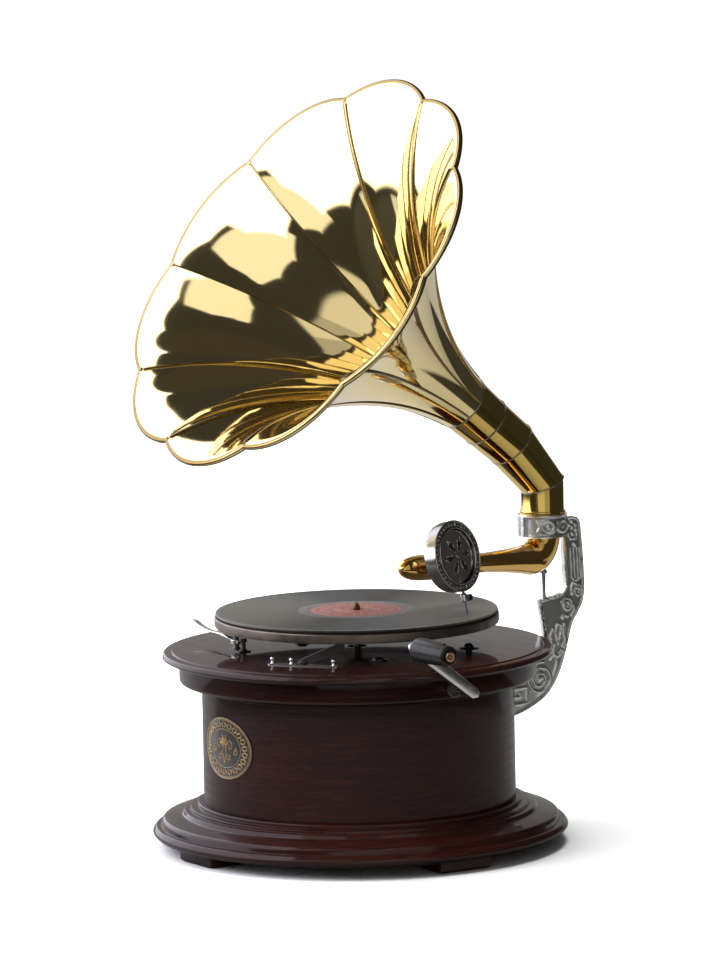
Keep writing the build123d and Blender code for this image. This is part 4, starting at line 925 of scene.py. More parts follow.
def sideways(x, y, z):
    """Frame whose local Z runs along +X, local X along +Y."""
    return axes(spot(x, y, z), (0, 1, 0), (1, 0, 0))


turn(
    "crank_bush_ring",
    [(4.55, 0), (7, 0), (7, BUSH_L - 1.6), (9, BUSH_L - 1.6, 0.3), (8.6, BUSH_L - 0.4, 0.5),
     (6.6, BUSH_L, 0.6), (4.55, BUSH_L)],
    BLACK_LACQUER, "case", "crank_bush", slot="gear_brass", place=sideways(BUSH_X, 0, CRANK_Z), steps=48)

CRANK_THICK = 8.0
CRANK_HALF_W = 5.5
CRANK_INSET = CRANK_THICK / 2 + 0.7
END_STEPS = 8
BAR_STEPS = 12
bar_start = spot(CRANK_ARM_X + CRANK_INSET, 0, CRANK_Z)
bar_end = spot(CRANK_ARM_X + CRANK_ARM_L - CRANK_INSET, GRIP_Y, GRIP_Z)
bar_length = (bar_end - bar_start).length / MM
run = (bar_end - bar_start).normalized()
bar_place = axes(bar_start, run, Vector((1, 0, 0)) - run * run.x)
stations = [-CRANK_HALF_W * cos(pi / 2 * k / END_STEPS) for k in range(1, END_STEPS + 1)]
stations += [bar_length * k / BAR_STEPS for k in range(1, BAR_STEPS)]
stations += [bar_length + CRANK_HALF_W * sin(pi / 2 * k / END_STEPS) for k in range(END_STEPS)]
rings = [[bar_place @ Vector((-CRANK_HALF_W, 0, 0))]]
for along in stations:
    past = max(-along, along - bar_length, 0)
    half = sqrt(max(CRANK_HALF_W**2 - past**2, 0.05))
    section = rectangle(-half, half, -CRANK_THICK / 2, CRANK_THICK / 2, 3.0)
    rings.append([bar_place @ Vector((along, y, z)) for y, z in section])
rings.append([bar_place @ Vector((bar_length + CRANK_HALF_W, 0, 0))])
make("crank_bar", [skin(rings)], NICKEL, "crank", "crank_arm", slot="nickel")

turn(
    "crank_shaft_rod",
    [(0, 0), (3, 0), (3, 8.6), (4.5, 8.6), (4.5, SHAFT_L - 0.2, 0.4), (3.2, SHAFT_L + 0.5, 0.6),
     (0, SHAFT_L + 0.5)],
    NICKEL, "crank", "crank_shaft", slot="motor_steel", place=sideways(SHAFT_X, 0, CRANK_Z), steps=40)

GRIP_BORE_R = 2.56
grip_line = curve([(8.6, 0.1), (10.3, 1.2), (10.85, 4.0), (10.7, 15), (10.2, 28), (9.5, 40),
                   (9.15, GRIP_L - 6), (9.05, GRIP_L - 3.2), (8.3, GRIP_L - 1.0), (6.2, GRIP_L - 0.1)], 5)
grip_line = [(GRIP_BORE_R, 0.1), *grip_line, (4.9, GRIP_L - 0.3), (4.7, GRIP_L - 1.0),
             (GRIP_BORE_R, GRIP_L - 1.0)]
grip_place = sideways(GRIP_X, GRIP_Y, GRIP_Z)
pin_place = axes(grip_place @ Vector((0, 8.2, GRIP_L - 9)), (1, 0, 0), (0, 0, 1))
grip_pin = lathe(rounded([(0, -2), (1.5, -2), (1.5, 2.2, 0.5), (0, 2.4)]), pin_place, 16)
make("crank_grip_turned", [lathe(grip_line, grip_place, 64), grip_pin], BLACK, "grip", "crank_grip",
     slot="black_moulded")

turn(
    "grip_rivet_head",
    [(0, 0), (2.5, 0), (2.5, RIVET_L - 1.9), (4.6, RIVET_L - 1.9, 0.2), (4.5, RIVET_L - 0.5, 0.7),
     (3.0, RIVET_L - 0.1, 0.5), (2.4, RIVET_L - 0.7, 0.4), (1.2, RIVET_L - 0.8, 0.3), (0, RIVET_L - 0.2)],
    COPPER, "crank", "grip_rivet", slot="rivet_copper", place=sideways(RIVET_X, GRIP_Y, GRIP_Z), steps=40)

# ---------------------------------------------------------------- cast bracket

PIVOT = Vector(JOINTS["tonearm_swing"]["pos_m"])
_, PIVOT_Y, PIVOT_Z = joint_spot("tonearm_swing")
RING_H = 21.0
RING_TOP = height("back_bracket")
RING_BOTTOM = RING_TOP - RING_H
BRACKET_HALF = 5.0
SHOULDER = RING_TOP - 5.5
# Local X runs towards the back, local Y up, local Z towards the crank's side
BRACKET_PLACE = axes(spot(0, 0, 0), (0, 1, 0), (1, 0, 0))

belly = curve([(DRUM_R + 3, 97.0), (166, 98.8), (187, 106), (202, 115.4), (213.5, 130.5), (221.8, 150),
               (229.7, 176.5), (236, 187), (242.2, 198), (244.2, 214.5), (243, 243), (240.8, 266)], 6)
corner = [(240.5, SHOULDER - 8), (239.7, SHOULDER - 4), (237.4, SHOULDER - 1.3), (233.5, SHOULDER),
          (222, SHOULDER)]
inner = curve([(222.6, RING_BOTTOM), (223.4, 240), (224.4, 217), (223.2, 210.6), (219.2, 206.4),
               (212.5, 204.6), (204, 203.6), (195.6, 201.6)], 5)
lower = curve([(196.6, 196), (198.6, 184), (200.6, 167.5), (197, 158.5), (188, 151), (172, 144.6),
               (DRUM_R + 3, 140.0)], 5)
bracket_line = [*belly, *corner, (217, SHOULDER), (217, RING_BOTTOM), *inner, *lower]

RELIEF = []


def relief(line, half_width, rise):
    """Raised line on the casting's two faces."""
    RELIEF.append((line, half_width, rise))


def vine(half_width, rise, *points, cuts=6):
    relief(curve(points, cuts), half_width, rise)


def dot_relief(x, y, half_width, rise):
    relief([(x, y), (x + 0.1, y + 0.1)], half_width, rise)


relief(belly + corner, 2.3, 1.15)
relief(inner, 1.5, 0.75)
relief(lower, 1.6, 0.6)
# The large scroll at the bottom, then leaves and smaller scrolls up to the ring
relief(spiral(193.6, 130.6, 15.2, 1.6, 75, 2.6, 70), 1.35, 1.5)
relief(spiral(193.6, 130.6, 1.5, 0.4, 0, 1.0, 10), 2.6, 1.7)
vine(1.2, 1.1, (212.5, 146), (210.5, 138), (205.5, 128), (198, 119.5), (190, 115.4))
vine(1.7, 1.3, (218.5, 154), (213.2, 149.5), (208.8, 152.5), (211, 160))
vine(1.25, 1.5, (205, 147), (209.5, 152), (213.8, 160), (216.2, 168), (217.6, 176.6), (213.6, 178.6),
     (211.6, 172), (213.2, 164))
vine(1.8, 1.4, (204.6, 158), (207, 163), (206.2, 169), (209.2, 174))
vine(1.6, 1.3, (221.4, 178), (220.6, 170), (222.2, 163), (219.8, 157.4))
vine(1.1, 1.2, (218.6, 158), (221.0, 161), (223.6, 158.6))
vine(1.5, 1.2, (219, 184.5), (222, 186.6), (224.6, 185.2), cuts=5)
relief(spiral(224.6, 195.6, 6.4, 1.2, 150, -1.75, 44), 1.15, 1.4)
vine(1.2, 1.1, (231.0, 196.5), (232.6, 190.5), (229.4, 186), cuts=5)
relief(spiral(236.4, 207.6, 5.6, 1.4, 100, -1.5, 40), 1.15, 1.5)
vine(1.2, 1.3, (235.4, 213.3), (232.0, 215.6), (229.6, 211.4), (230.2, 205.6), cuts=5)
for x in (229.3, 232.8, 236.3, 239.2):
    relief([(x, 247.5), (x + 1.2, 220.4)], 0.75, 1.0)
vine(0.9, 0.9, (230.5, 220.4), (234, 217.6), (239.6, 220.4), cuts=5)
dot_relief(233.6, 250.6, 2.0, 1.5)
relief(spiral(231.8, 260.2, 4.8, 4.2, 175, 0.62, 22), 1.2, 1.4)
dot_relief(231.8, 260.4, 1.9, 1.1)
for x, y in ((231.0, 266.6), (234.6, 268.4), (227.6, 268.8), (230.8, 272.0), (236.0, 263.6)):
    relief([(x, y), (x + 0.1, y)], 1.7, 1.5)
# The square fret by the case
relief([(146, 122.4), (178.6, 123.8)], 1.3, 1.1)
relief([(146, 107.0), (178.8, 109.6)], 1.3, 1.1)
relief([(178.6, 123.8), (178.8, 109.6)], 1.0, 0.8)
relief([(150, 114.6), (171.6, 115.8), (172.0, 118.6)], 1.0, 0.9)
relief([(150, 130.0), (171, 133.4)], 1.0, 0.8)


def cast_front(xy):
    """Height of the casting's face over its middle plane."""
    edge = distance(xy, bracket_line, True)
    lift = np.zeros(len(xy))
    for line, half_width, rise in RELIEF:
        share = np.clip(1 - distance(xy, line) / half_width, 0, 1)
        lift = np.maximum(lift, rise * np.sqrt(share * (2 - share)))
    hollow = BRACKET_HALF - 1.25 + lift
    return hollow - 1.3 * np.exp(-edge / 0.45)


bracket_shapes = [slab(bracket_line, BRACKET_PLACE, cast_front, lambda xy: -cast_front(xy),
                       cell=0.85)]
RING_R = 22.8
RING_BORE_R = 17.5
OVALS = (-20, 22, 64, 116, 158, 200)
OVAL_HALF_L = 7.2
OVAL_HALF_H = 6.2
RELIEF_DEPTH = 1.1


def ring_relief(radius, up, angle):
    """Chain of ovals round the ring's back half, plain with two lugs at the front."""
    if radius < RING_R - 1.2 or up < 0.5 or up > RING_H - 0.5:
        return radius, up
    lift = 0.0
    for middle_angle in OVALS:
        across = ((degrees(angle) - middle_angle + 180) % 360 - 180) * pi / 180 * RING_R
        along = up - RING_H / 2
        far = sqrt((across / OVAL_HALF_L) ** 2 + (along / OVAL_HALF_H) ** 2)
        lift = max(lift, 1.15 * exp(-(((far - 0.82) * 4.6) ** 2)), 1.0 * exp(-((far * 3.4) ** 2)))
        crossing = abs(abs(abs(across) - 8.4) - 0.55 * abs(along))
        if abs(across) < 12:
            lift = max(lift, 0.9 * exp(-((crossing / 0.9) ** 2) - (along / 5.4) ** 4))
    edge = min(up, RING_H - up)
    lift = max(lift, RELIEF_DEPTH * exp(-(((edge - 1.3) / 0.9) ** 2)))
    return radius - RELIEF_DEPTH + lift, up


ring_line = [(RING_BORE_R, 0), (RING_R - 1.6, 0), (RING_R - 0.5, 0.35)]
ring_line += [(RING_R, 0.35 + 20.3 * k / 34) for k in range(35)]
ring_line += [(RING_R - 1.6, RING_H), (RING_BORE_R, RING_H)]
bracket_shapes.append(lathe(ring_line, flat(0, PIVOT_Y, RING_BOTTOM), 240, ring_relief))
lug_line = rounded([(RING_R - 2.2, -2.2), (RING_R + 2.4, -2.2, 1), (RING_R + 2.4, 2.2, 1),
                    (RING_R - 2.2, 2.2)], 3)
for lug_turn in (-98, -82):
    lug = flat(0, PIVOT_Y, RING_BOTTOM, lug_turn)
    bracket_shapes.append(slab(lug_line, lug, RING_H - 1.4, 1.4))

# The pad that is screwed to the drum, bent to fit it
PAD_LOW = 96.0
PAD_HIGH = 147.0
PAD_TURN = 8.0
PAD_STEPS = 12
pad_rings = []
for up, trim in ((PAD_LOW, 1.0), (PAD_LOW + 1, 0.0), (PAD_HIGH - 1, 0.0), (PAD_HIGH, 1.0)):
    section = []
    for radius, way in ((DRUM_R + 4 - trim, 1), (DRUM_R + 0.05, -1)):
        for k in range(PAD_STEPS + 1):
            angle = radians(90 + way * (2 * PAD_TURN * k / PAD_STEPS - PAD_TURN))
            section.append(spot(radius * cos(angle), radius * sin(angle), up))
    pad_rings.append(section)
centres = [[sum(r, Vector()) / len(r)] for r in (pad_rings[0], pad_rings[-1])]
bracket_shapes.append(skin([centres[0], *pad_rings, centres[1]]))
make("bracket_casting", bracket_shapes, CAST_SILVER, "case", "back_bracket", slot="cast_silver", crease=50)

screw_line = [(0, -8), (1.8, -8), (1.8, 4.1), (3.4, 4.1), (3.3, 4.9), (2.7, 5.6), (1.6, 6.05), (0, 6.1)]
screw_shapes = [lathe(screw_line, axes(spot(x, DRUM_R, z), (1, 0, 0), (0, 1, 0)), 28)
                for x in (-13, 13) for z in (104, 139)]
make("bracket_screw_heads", screw_shapes, NICKEL, "case", "bracket_screws", slot="nickel")

PIN_TOP = height("support_pin")
PIN_LOW = 202.6
turn(
    "support_pin_turned",
    [(0, PIN_TOP), (2.4, PIN_TOP, 0.4), (2.4, PIN_TOP - 1.1, 0.3), (3.3, PIN_TOP - 1.3, 0.3),
     (3.3, PIN_TOP - 3.7, 0.3), (1.9, PIN_TOP - 4.2, 0.3), (1.5, PIN_LOW + 6.4, 1),
     (1.9, PIN_LOW + 1.6, 1), (2.6, PIN_LOW), (0, PIN_LOW)],
    STEEL, "case", "support_pin", slot="nickel", place=flat(0, PIVOT_Y), steps=32)

# ---------------------------------------------------------------- tone arm and its knuckle

ARM_AXIS = Vector(JOINTS["soundbox_lift"]["axis"]).normalized()
ARM_SIDE = Vector((-ARM_AXIS.y, ARM_AXIS.x, 0)).normalized()
ARM_PLACE = axes(PIVOT, ARM_SIDE, ARM_AXIS)
ARM_R = 15.5
ARM_END_R = 8.4
ARM_L = 152.0
ELBOW_R = 20.0
ARM_STATIONS = ((21.6, 14.6), (36, 12.7), (60, 10.6), (98, 8.9), (138, ARM_END_R), (ARM_L, ARM_END_R))
ARM_WALL = 1.2
ARM_SIDES = 64
ELBOW_STEPS = 16


def arm_ring(centre, across, radius):
    """Ring of the bent tube, in metres; centre and across in millimetres from the pivot."""
    ring = []
    for k in range(ARM_SIDES):
        angle = TURN * k / ARM_SIDES
        ring.append(PIVOT + (centre + across * (cos(angle) * radius) + ARM_SIDE * (sin(angle) * radius)) * MM)
    return ring


def arm_rings(wall):
    """Rings down the bearing, round the elbow and out along the arm."""
    upwards = Vector((0, 0, 1))
    outwards = Vector((ARM_AXIS.x, ARM_AXIS.y, 0)).normalized()
    bend = pi / 2 + asin(ARM_AXIS.z)
    elbow_reach = ELBOW_R / tan((pi - bend) / 2)
    hinge = upwards * elbow_reach + outwards * ELBOW_R
    rings = [arm_ring(upwards * up, outwards, ARM_R - wall) for up in (RING_TOP - 1 - PIVOT_Z, 32, 26)]
    for k in range(ELBOW_STEPS + 1):
        angle = bend * k / ELBOW_STEPS
        to_hinge = outwards * cos(angle) + upwards * sin(angle)
        radius = ARM_R - (ARM_R - ARM_STATIONS[0][1]) * k / ELBOW_STEPS - wall
        rings.append(arm_ring(hinge - to_hinge * ELBOW_R, to_hinge, radius))
    across = ARM_AXIS.cross(ARM_SIDE).normalized()
    if across.z < 0:
        across = -across
    for along, radius in curve(ARM_STATIONS, 3):
        if along > elbow_reach + 1:
            rings.append(arm_ring(ARM_AXIS * along, across, radius - wall))
    return rings


tube = skin(arm_rings(0.0) + arm_rings(ARM_WALL)[::-1], loop=True)
make("tonearm_tube", [tube], DARK_BRASS, "tonearm_body", "tonearm", slot="arm_brass", crease=50)

KNUCKLE = (142.0, 214.0)
BRANCH_AT = 171.0
BOX_BACK = 19.3
BOX_BORE_R = 5.6
bullet = curve([(11.3, KNUCKLE[0] + 1.4), (11.6, 160), (11.6, 182), (11.2, 192), (9.9, 201),
                (7.3, 208.4), (4.0, 212.6)])
bullet_line = [(0, ARM_L + 1), (ARM_END_R + 0.06, ARM_L + 1), (ARM_END_R + 0.06, KNUCKLE[0]),
               (10.2, KNUCKLE[0]), (11.0, KNUCKLE[0] + 0.4), *bullet, (1.6, 213.8), (0, KNUCKLE[1])]
knuckle_shapes = [lathe(bullet_line, ARM_PLACE, 64)]
BOX_AXIS = Vector(JOINTS["needle_screw_turn"]["axis"]).normalized()
BOX_LIFT = 5.5
BRANCH = PIVOT + ARM_AXIS * BRANCH_AT * MM + Vector((0, 0, BOX_LIFT)) * MM
BOX_PLACE = axes(BRANCH, -Vector((ARM_AXIS.x, ARM_AXIS.y, 0)).normalized(), BOX_AXIS)
neck = rounded([(BOX_BORE_R, 4), (7.8, 4), (7.2, 12.2, 2), (7.0, 15.4, 0.6), (8.8, 15.8, 0.6),
                (8.8, BOX_BACK - 0.1, 0.5), (BOX_BORE_R, BOX_BACK - 0.1)])
knuckle_shapes.append(lathe(neck, BOX_PLACE, 48))
make("knuckle_turned", knuckle_shapes, DARK_BRASS, "soundbox", "arm_knuckle", slot="arm_brass", crease=40)

# ---------------------------------------------------------------- sound box

BOX_R = 32.3
BOX_T = 13.7
face = BOX_BACK + BOX_T
case_line = rounded(
    [(BOX_BORE_R, BOX_BACK), (BOX_R - 12, BOX_BACK, 1), (BOX_R - 7, BOX_BACK - 1.8, 3),
     (BOX_R - 1.4, BOX_BACK - 1.6, 1.6), (BOX_R - 1.2, BOX_BACK + 3.2, 0.4),
     (BOX_R - 0.2, BOX_BACK + 3.6, 0.4), (BOX_R - 0.2, face - 2.6, 0.4), (BOX_R, face - 2.3, 0.3),
     (BOX_R, face - 0.5, 0.8), (BOX_R - 1.3, face, 0.5), (BOX_R - 1.7, face - 0.5, 0.3),
     (BOX_R - 6.0, face - 0.5, 0.3), (BOX_R - 6.0, BOX_BACK + 2, 0.3), (BOX_BORE_R, BOX_BACK + 2)], 5)
bead = rounded([(BOX_R - 7.7, face - 1.0), (BOX_R - 6.2, face - 1.0), (BOX_R - 6.1, face + 0.5, 0.7),
                (BOX_R - 7.8, face + 0.5, 0.7)], 5)
make("soundbox_shell", [lathe(line, BOX_PLACE, 128) for line in (case_line, bead)], BOX_PLATE, "soundbox",
     "soundbox_case", slot="sound_box_plate", crease=40)

# Ornamental marks round the rim: tapered bars and diamonds by turns
MARKS = 40
MARK_LINES = (
    rounded([(-1.3, 0, 0.3), (0, -1.35, 0.3), (1.3, 0, 0.3), (0, 1.35, 0.3)], 2),
    rounded([(-1.5, -0.5, 0.3), (1.5, -0.9, 0.4), (1.5, 0.9, 0.4), (-1.5, 0.5, 0.3)], 2),
)
mark_shapes = []
for k in range(MARKS):
    mark_turn = Matrix.Rotation(radians(360 * k / MARKS), 4, "Z")
    spin = BOX_PLACE @ mark_turn @ Matrix.Translation((BOX_R - 3.85, 0, 0))
    mark_shapes.append(slab(MARK_LINES[k % 2], spin, face + 0.15, face - 0.7))
make("soundbox_rim_marks", mark_shapes, NICKEL, "soundbox", "soundbox_case", slot="sound_box_plate",
     crease=40)

DISC_R = BOX_R - 7.6


def dome(xy):
    """Height of the leaf disc, which bulges towards the middle."""
    return face - 2.4 + 1.9 * (1 - (np.linalg.norm(xy, axis=1) / DISC_R) ** 2)


def leaf(leaf_turn):
    """Leaf-shaped opening pointing outwards, with two side points."""
    half = [(4.6, 0.0), (6.4, 1.5), (8.8, 1.3), (10.2, 3.1), (11.6, 1.9), (14.4, 2.9), (15.0, 1.3),
            (18.8, 0.0)]
    outline = half + [(x, -y) for x, y in reversed(half[1:-1])]
    c, s = cos(radians(leaf_turn)), sin(radians(leaf_turn))
    return rounded([(x * c - y * s, x * s + y * c, 0.35) for x, y in outline], 2)


LEAVES = [leaf(5 + 60 * k) for k in range(6)]
DISC_STEPS = 96
disc_line = [(DISC_R * cos(TURN * k / DISC_STEPS), DISC_R * sin(TURN * k / DISC_STEPS))
             for k in range(DISC_STEPS)]
grille_shapes = [slab(disc_line, BOX_PLACE, dome, lambda xy: dome(xy) - 0.7, LEAVES,
                      1.0)]
for outline in LEAVES:
    edge = [(x, y, float(dome(np.array([[x, y]]))[0]) + 0.05) for x, y in outline]
    grille_shapes.append(sweep(edge, 0.22, BOX_PLACE, 6, loop=True))
boss = rounded([(0, face - 0.9), (2.0, face - 0.9), (1.9, face + 0.1, 0.6), (0, face + 0.4)], 4)
grille_shapes.append(lathe(boss, BOX_PLACE, 28))
make("soundbox_leaf_disc", grille_shapes, CHROME, "soundbox", "soundbox_grille", slot="sound_box_plate",
     crease=30)

MICA_BACK = BOX_BACK + 5.5
MICA_FRONT = BOX_BACK + 5.9
turn(
    "diaphragm_sheet",
    [(0, MICA_BACK), (BOX_R - 3, MICA_BACK), (BOX_R - 3, MICA_FRONT, 0.1), (0, MICA_FRONT)],
    MICA, "soundbox", "soundbox_diaphragm", slot="mica", place=BOX_PLACE, steps=96)

BAR_OUT = BOX_BACK + 11.4
BOX_UP = (BOX_PLACE.to_3x3() @ Vector((0, 1, 0))).normalized()
BAR_PLACE = axes(BOX_PLACE @ Vector((0, 0, BAR_OUT)), BOX_AXIS, BOX_UP)
CHUCK_TOP, CHUCK_BOTTOM = -33.4, -41.5
NEEDLE_TIP = (RECORD_TOP + 0.15 - BAR_PLACE.translation.z / MM) / BOX_UP.z

bar = rectangle(-0.9, 0.9, -1.5, 1.5, 0.5, 2)
foot = rounded([(0, -2.4), (1.2, -2.4), (1.2, -1.2, 0.3), (0.9, -0.9), (0, -0.9)])
chuck = rounded([(0, -35.1), (0.82, -35.1), (0.82, CHUCK_BOTTOM + 0.3, 0.2), (2.5, CHUCK_BOTTOM, 0.5),
                 (3.3, CHUCK_BOTTOM + 1.2, 0.5), (3.3, -35.4, 0.8), (2.2, CHUCK_TOP, 0.8), (0, CHUCK_TOP)])
make("needle_bar_chuck", [slab(bar, BAR_PLACE, -0.4, CHUCK_TOP - 0.4), lathe(chuck, BAR_PLACE, 32),
                          lathe(foot, BOX_PLACE @ Matrix.Translation((0, 0, BAR_OUT)), 20)],
     NICKEL, "soundbox", "needle_bar", slot="sound_box_plate")

turn(
    "needle_steel",
    [(0, -35.3), (0.74, -35.3), (0.74, NEEDLE_TIP + 5, 1), (0.12, NEEDLE_TIP + 0.1), (0, NEEDLE_TIP)],
    BLUED, "soundbox", "needle", slot="nickel", place=BAR_PLACE, steps=16)


def knurled(radius, up, angle):
    """Ridges round the thumb screw's head."""
    if radius < 2.6 or up < 3.6:
        return radius, up
    return radius - 0.28 * (0.5 + 0.5 * cos(18 * angle)), up


screw_place = BOX_PLACE @ Matrix.Translation((0, -38, BAR_OUT))
screw = rounded([(0, 0.9), (1.0, 0.9), (1.0, 3.4), (1.7, 3.5, 0.2), (3.1, 4.0, 0.4), (3.2, 7.2, 0.5),
                 (2.5, 8.1, 0.5), (0, 8.4)])
make("thumb_screw", [lathe(screw, screw_place, 108, knurled)], BLACK_LACQUER, "needle_clamp",
     "needle_screw", slot="black_steel")

# ---------------------------------------------------------------- horn

HORN_TURN = radians(2.7)
HORN_SIDE = Vector((cos(HORN_TURN), sin(HORN_TURN), 0))
HORN_OUT = Vector((sin(HORN_TURN), -cos(HORN_TURN), 0))
COLLAR_R = 19.5
NECK_JOINTS = ((0.0, 309.0, 20.5), (35.0, 348.5, 23.4), (63.0, 371.0, 24.3), (87.3, 390.7, 26.0))
JOINT_SLOPES = (69.2, 43.6, 38.9, 36.45)
SHEET = 0.8
ROUND = 96


def horn_plane(forward, up, slope):
    """Frame across the horn; slope is its normal's angle above the horizontal."""
    normal = HORN_OUT * cos(radians(slope)) + Vector((0, 0, 1)) * sin(radians(slope))
    return axes(spot(0, PIVOT_Y, up) + HORN_OUT * forward * MM, HORN_SIDE, normal)


def joint_ring(index, wall):
    """Ring of the neck at one of its mitred joints, as far inside the surface as wall says."""
    forward, up, radius = NECK_JOINTS[index]
    slope = JOINT_SLOPES[index]
    stretch = 1.0
    if index == 0:
        radius = COLLAR_R
        stretch = 1 / sin(radians(slope))
    place = horn_plane(forward, up, slope)
    radius -= wall
    angles = [TURN * k / ROUND for k in range(ROUND)]
    return [place @ Vector((radius * cos(a), radius * stretch * sin(a), 0)) for a in angles]


SLANT = 1 / tan(radians(JOINT_SLOPES[0]))
COLLAR_LOW = RING_TOP + 0.1
COLLAR_TOP = NECK_JOINTS[0][1]
COLLAR_SLEEVE_R = 17.42


def cut_collar(radius, up, angle):
    """The collar's top follows the slanting joint."""
    top = COLLAR_TOP + radius * sin(angle) * SLANT
    share = max((up - COLLAR_LOW - 3) / (COLLAR_TOP - COLLAR_LOW - 3), 0)
    return radius, up + share * (top - COLLAR_TOP)


collar = rounded(
    [(ARM_R + 0.1, RING_BOTTOM + 2), (COLLAR_SLEEVE_R, RING_BOTTOM + 2), (COLLAR_SLEEVE_R, COLLAR_LOW),
     (COLLAR_R + 1.4, COLLAR_LOW, 0.9), (COLLAR_R + 1.4, COLLAR_LOW + 3, 0.9),
     (COLLAR_R, COLLAR_LOW + 3.1, 0.3), (COLLAR_R, COLLAR_TOP), (COLLAR_R - 1, COLLAR_TOP),
     (COLLAR_R - 1, COLLAR_LOW + 3.1), (ARM_R + 0.1, COLLAR_LOW + 3)], 5)
collar_place = axes(spot(0, PIVOT_Y, 0), HORN_SIDE, (0, 0, 1))
make("horn_collar_tube", [lathe(collar, collar_place, ROUND, cut_collar)], NECK_BRASS, "horn",
     "horn_collar", slot="horn_brass")

SECTION_SHARES = (0, 0.25, 0.5, 0.75, 1)
for index in range(3):
    rings = []
    for wall, shares in ((0, SECTION_SHARES), (SHEET, SECTION_SHARES[::-1])):
        low, high = joint_ring(index, wall), joint_ring(index + 1, wall)
        rings += [[a.lerp(b, t) for a, b in zip(low, high)] for t in shares]
    names = ("horn_neck",) if index == 0 else ()
    make(f"horn_neck_section_{index + 1}", [skin(rings, loop=True)], NECK_BRASS, "horn", *names,
         slot="horn_brass", crease=40)

solder_shapes = []
for index in range(4):
    thick = [0.55 + 0.22 * sin(7 * TURN * k / ROUND + index) * sin(3 * TURN * k / ROUND)
             for k in range(ROUND)]
    line = [p / MM for p in joint_ring(index, -0.25)]
    solder_shapes.append(sweep(line, thick, Matrix.Scale(MM, 4), 8, loop=True))
make("horn_solder_lines", solder_shapes, SOLDER, "horn", slot="horn_brass")

BELL_L = 225.0
MOUTH = (268.3, 524.4)
BELL_SLOPE = degrees(atan2(MOUTH[1] - NECK_JOINTS[-1][1], MOUTH[0] - NECK_JOINTS[-1][0]))
BELL_PLACE = horn_plane(NECK_JOINTS[-1][0], NECK_JOINTS[-1][1], BELL_SLOPE)
PETALS = 10
SEAM_START = 3.2
LOBE = 11.0
CURL_R = 2.3
CURL_LEAN = atan2(1.0, 1.75)
WIRE_R = 1.6
PETAL_SHEET = 0.5
ACROSS = 28
ALONG = 64


def bell_radius(along, across=0.0):
    """Radius of the bell's outside; across runs from 0 to 1 over a petal, whose middle bulges."""
    share = along / BELL_L
    base = NECK_JOINTS[-1][2] + 0.15 * along + 0.00229 * along**2 + 17.5 * share**10
    bow = 1 - abs(2 * across - 1) ** 2
    return base + share**2.4 * LOBE * (bow - 0.55)


def petal_angle(petal, across):
    """Angle round the bell; across runs from 0 to 1 over a petal."""
    return radians(SEAM_START + 360 / PETALS * (petal + across))


def petal_point(petal, across, along, lift=0.0):
    """Point of the bell's sheet, lifted off its outside."""
    angle = petal_angle(petal, across)
    radius = bell_radius(along, across) + lift
    return BELL_PLACE @ Vector((radius * cos(angle), radius * sin(angle), along))


def wire_centre(across):
    """Radius of the rim wire's middle and its distance along the bell."""
    return bell_radius(BELL_L, across) + sin(CURL_LEAN) * CURL_R, BELL_L - cos(CURL_LEAN) * CURL_R


def rim_point(petal, across, turned, lift):
    """Point of the sheet where it curls back round the rim wire."""
    out, ahead = cos(CURL_LEAN), sin(CURL_LEAN)
    curl = CURL_R - lift
    wire_r, wire_t = wire_centre(across)
    r = wire_r + curl * (-ahead * cos(turned) + out * sin(turned))
    t = wire_t + curl * (out * cos(turned) + ahead * sin(turned))
    angle = petal_angle(petal, across)
    return BELL_PLACE @ Vector((r * cos(angle), r * sin(angle), t))


def sheet(front, back):
    """Closed thin sheet between two grids of points, rows of equal count."""
    rows, columns = len(front), len(front[0])
    points = [p for row in front for p in row] + [p for row in back for p in row]
    half = rows * columns
    faces = []
    for i in range(rows - 1):
        for j in range(columns - 1):
            a, b = i * columns + j, (i + 1) * columns + j
            faces.append((a, a + 1, b + 1, b))
            faces.append((half + b, half + b + 1, half + a + 1, half + a))
    edge = [(0, j) for j in range(columns)] + [(i, columns - 1) for i in range(1, rows)]
    edge += [(rows - 1, j) for j in range(columns - 2, -1, -1)] + [(i, 0) for i in range(rows - 2, 0, -1)]
    line = [i * columns + j for i, j in edge]
    for k in range(len(line)):
        a, b = line[k], line[(k + 1) % len(line)]
        faces.append((b, a, half + a, half + b))
    return points, faces


# Neighbouring petals leave a gap too narrow to see, a share of a petal's width
GAP = 0.0006
crosses = [GAP + (1 - 2 * GAP) * k / ACROSS for k in range(ACROSS + 1)]
stations = [0.3 + (BELL_L - 0.3) * k / ALONG for k in range(ALONG + 1)]
curls = [radians(a) for a in range(0, 261, 20)]
walls = (0.0, -PETAL_SHEET)
beads = []
for petal in range(PETALS):
    faces = [[[petal_point(petal, u, t, lift) for u in crosses] for t in stations] for lift in walls]
    make(f"horn_petal_{petal + 1}", [sheet(*faces)], HORN_BRASS, "horn", "horn_petals",
         slot="horn_brass", crease=60)
    beads.append(sheet(*([[rim_point(petal, u, a, lift) for u in crosses] for a in curls]
                         for lift in walls)))
make("horn_rim_bead", beads, WIRE_BRASS, "horn", "horn_petals", slot="horn_brass", crease=60)

wire = []
for petal in range(PETALS):
    for k in range(ACROSS):
        r, t = wire_centre(k / ACROSS)
        angle = petal_angle(petal, k / ACROSS)
        wire.append((r * cos(angle), r * sin(angle), t))
make("rim_wire_ring", [sweep(wire, WIRE_R, BELL_PLACE, 10, loop=True)], HORN_BRASS, "horn",
     "horn_rim_wire", slot="horn_brass")

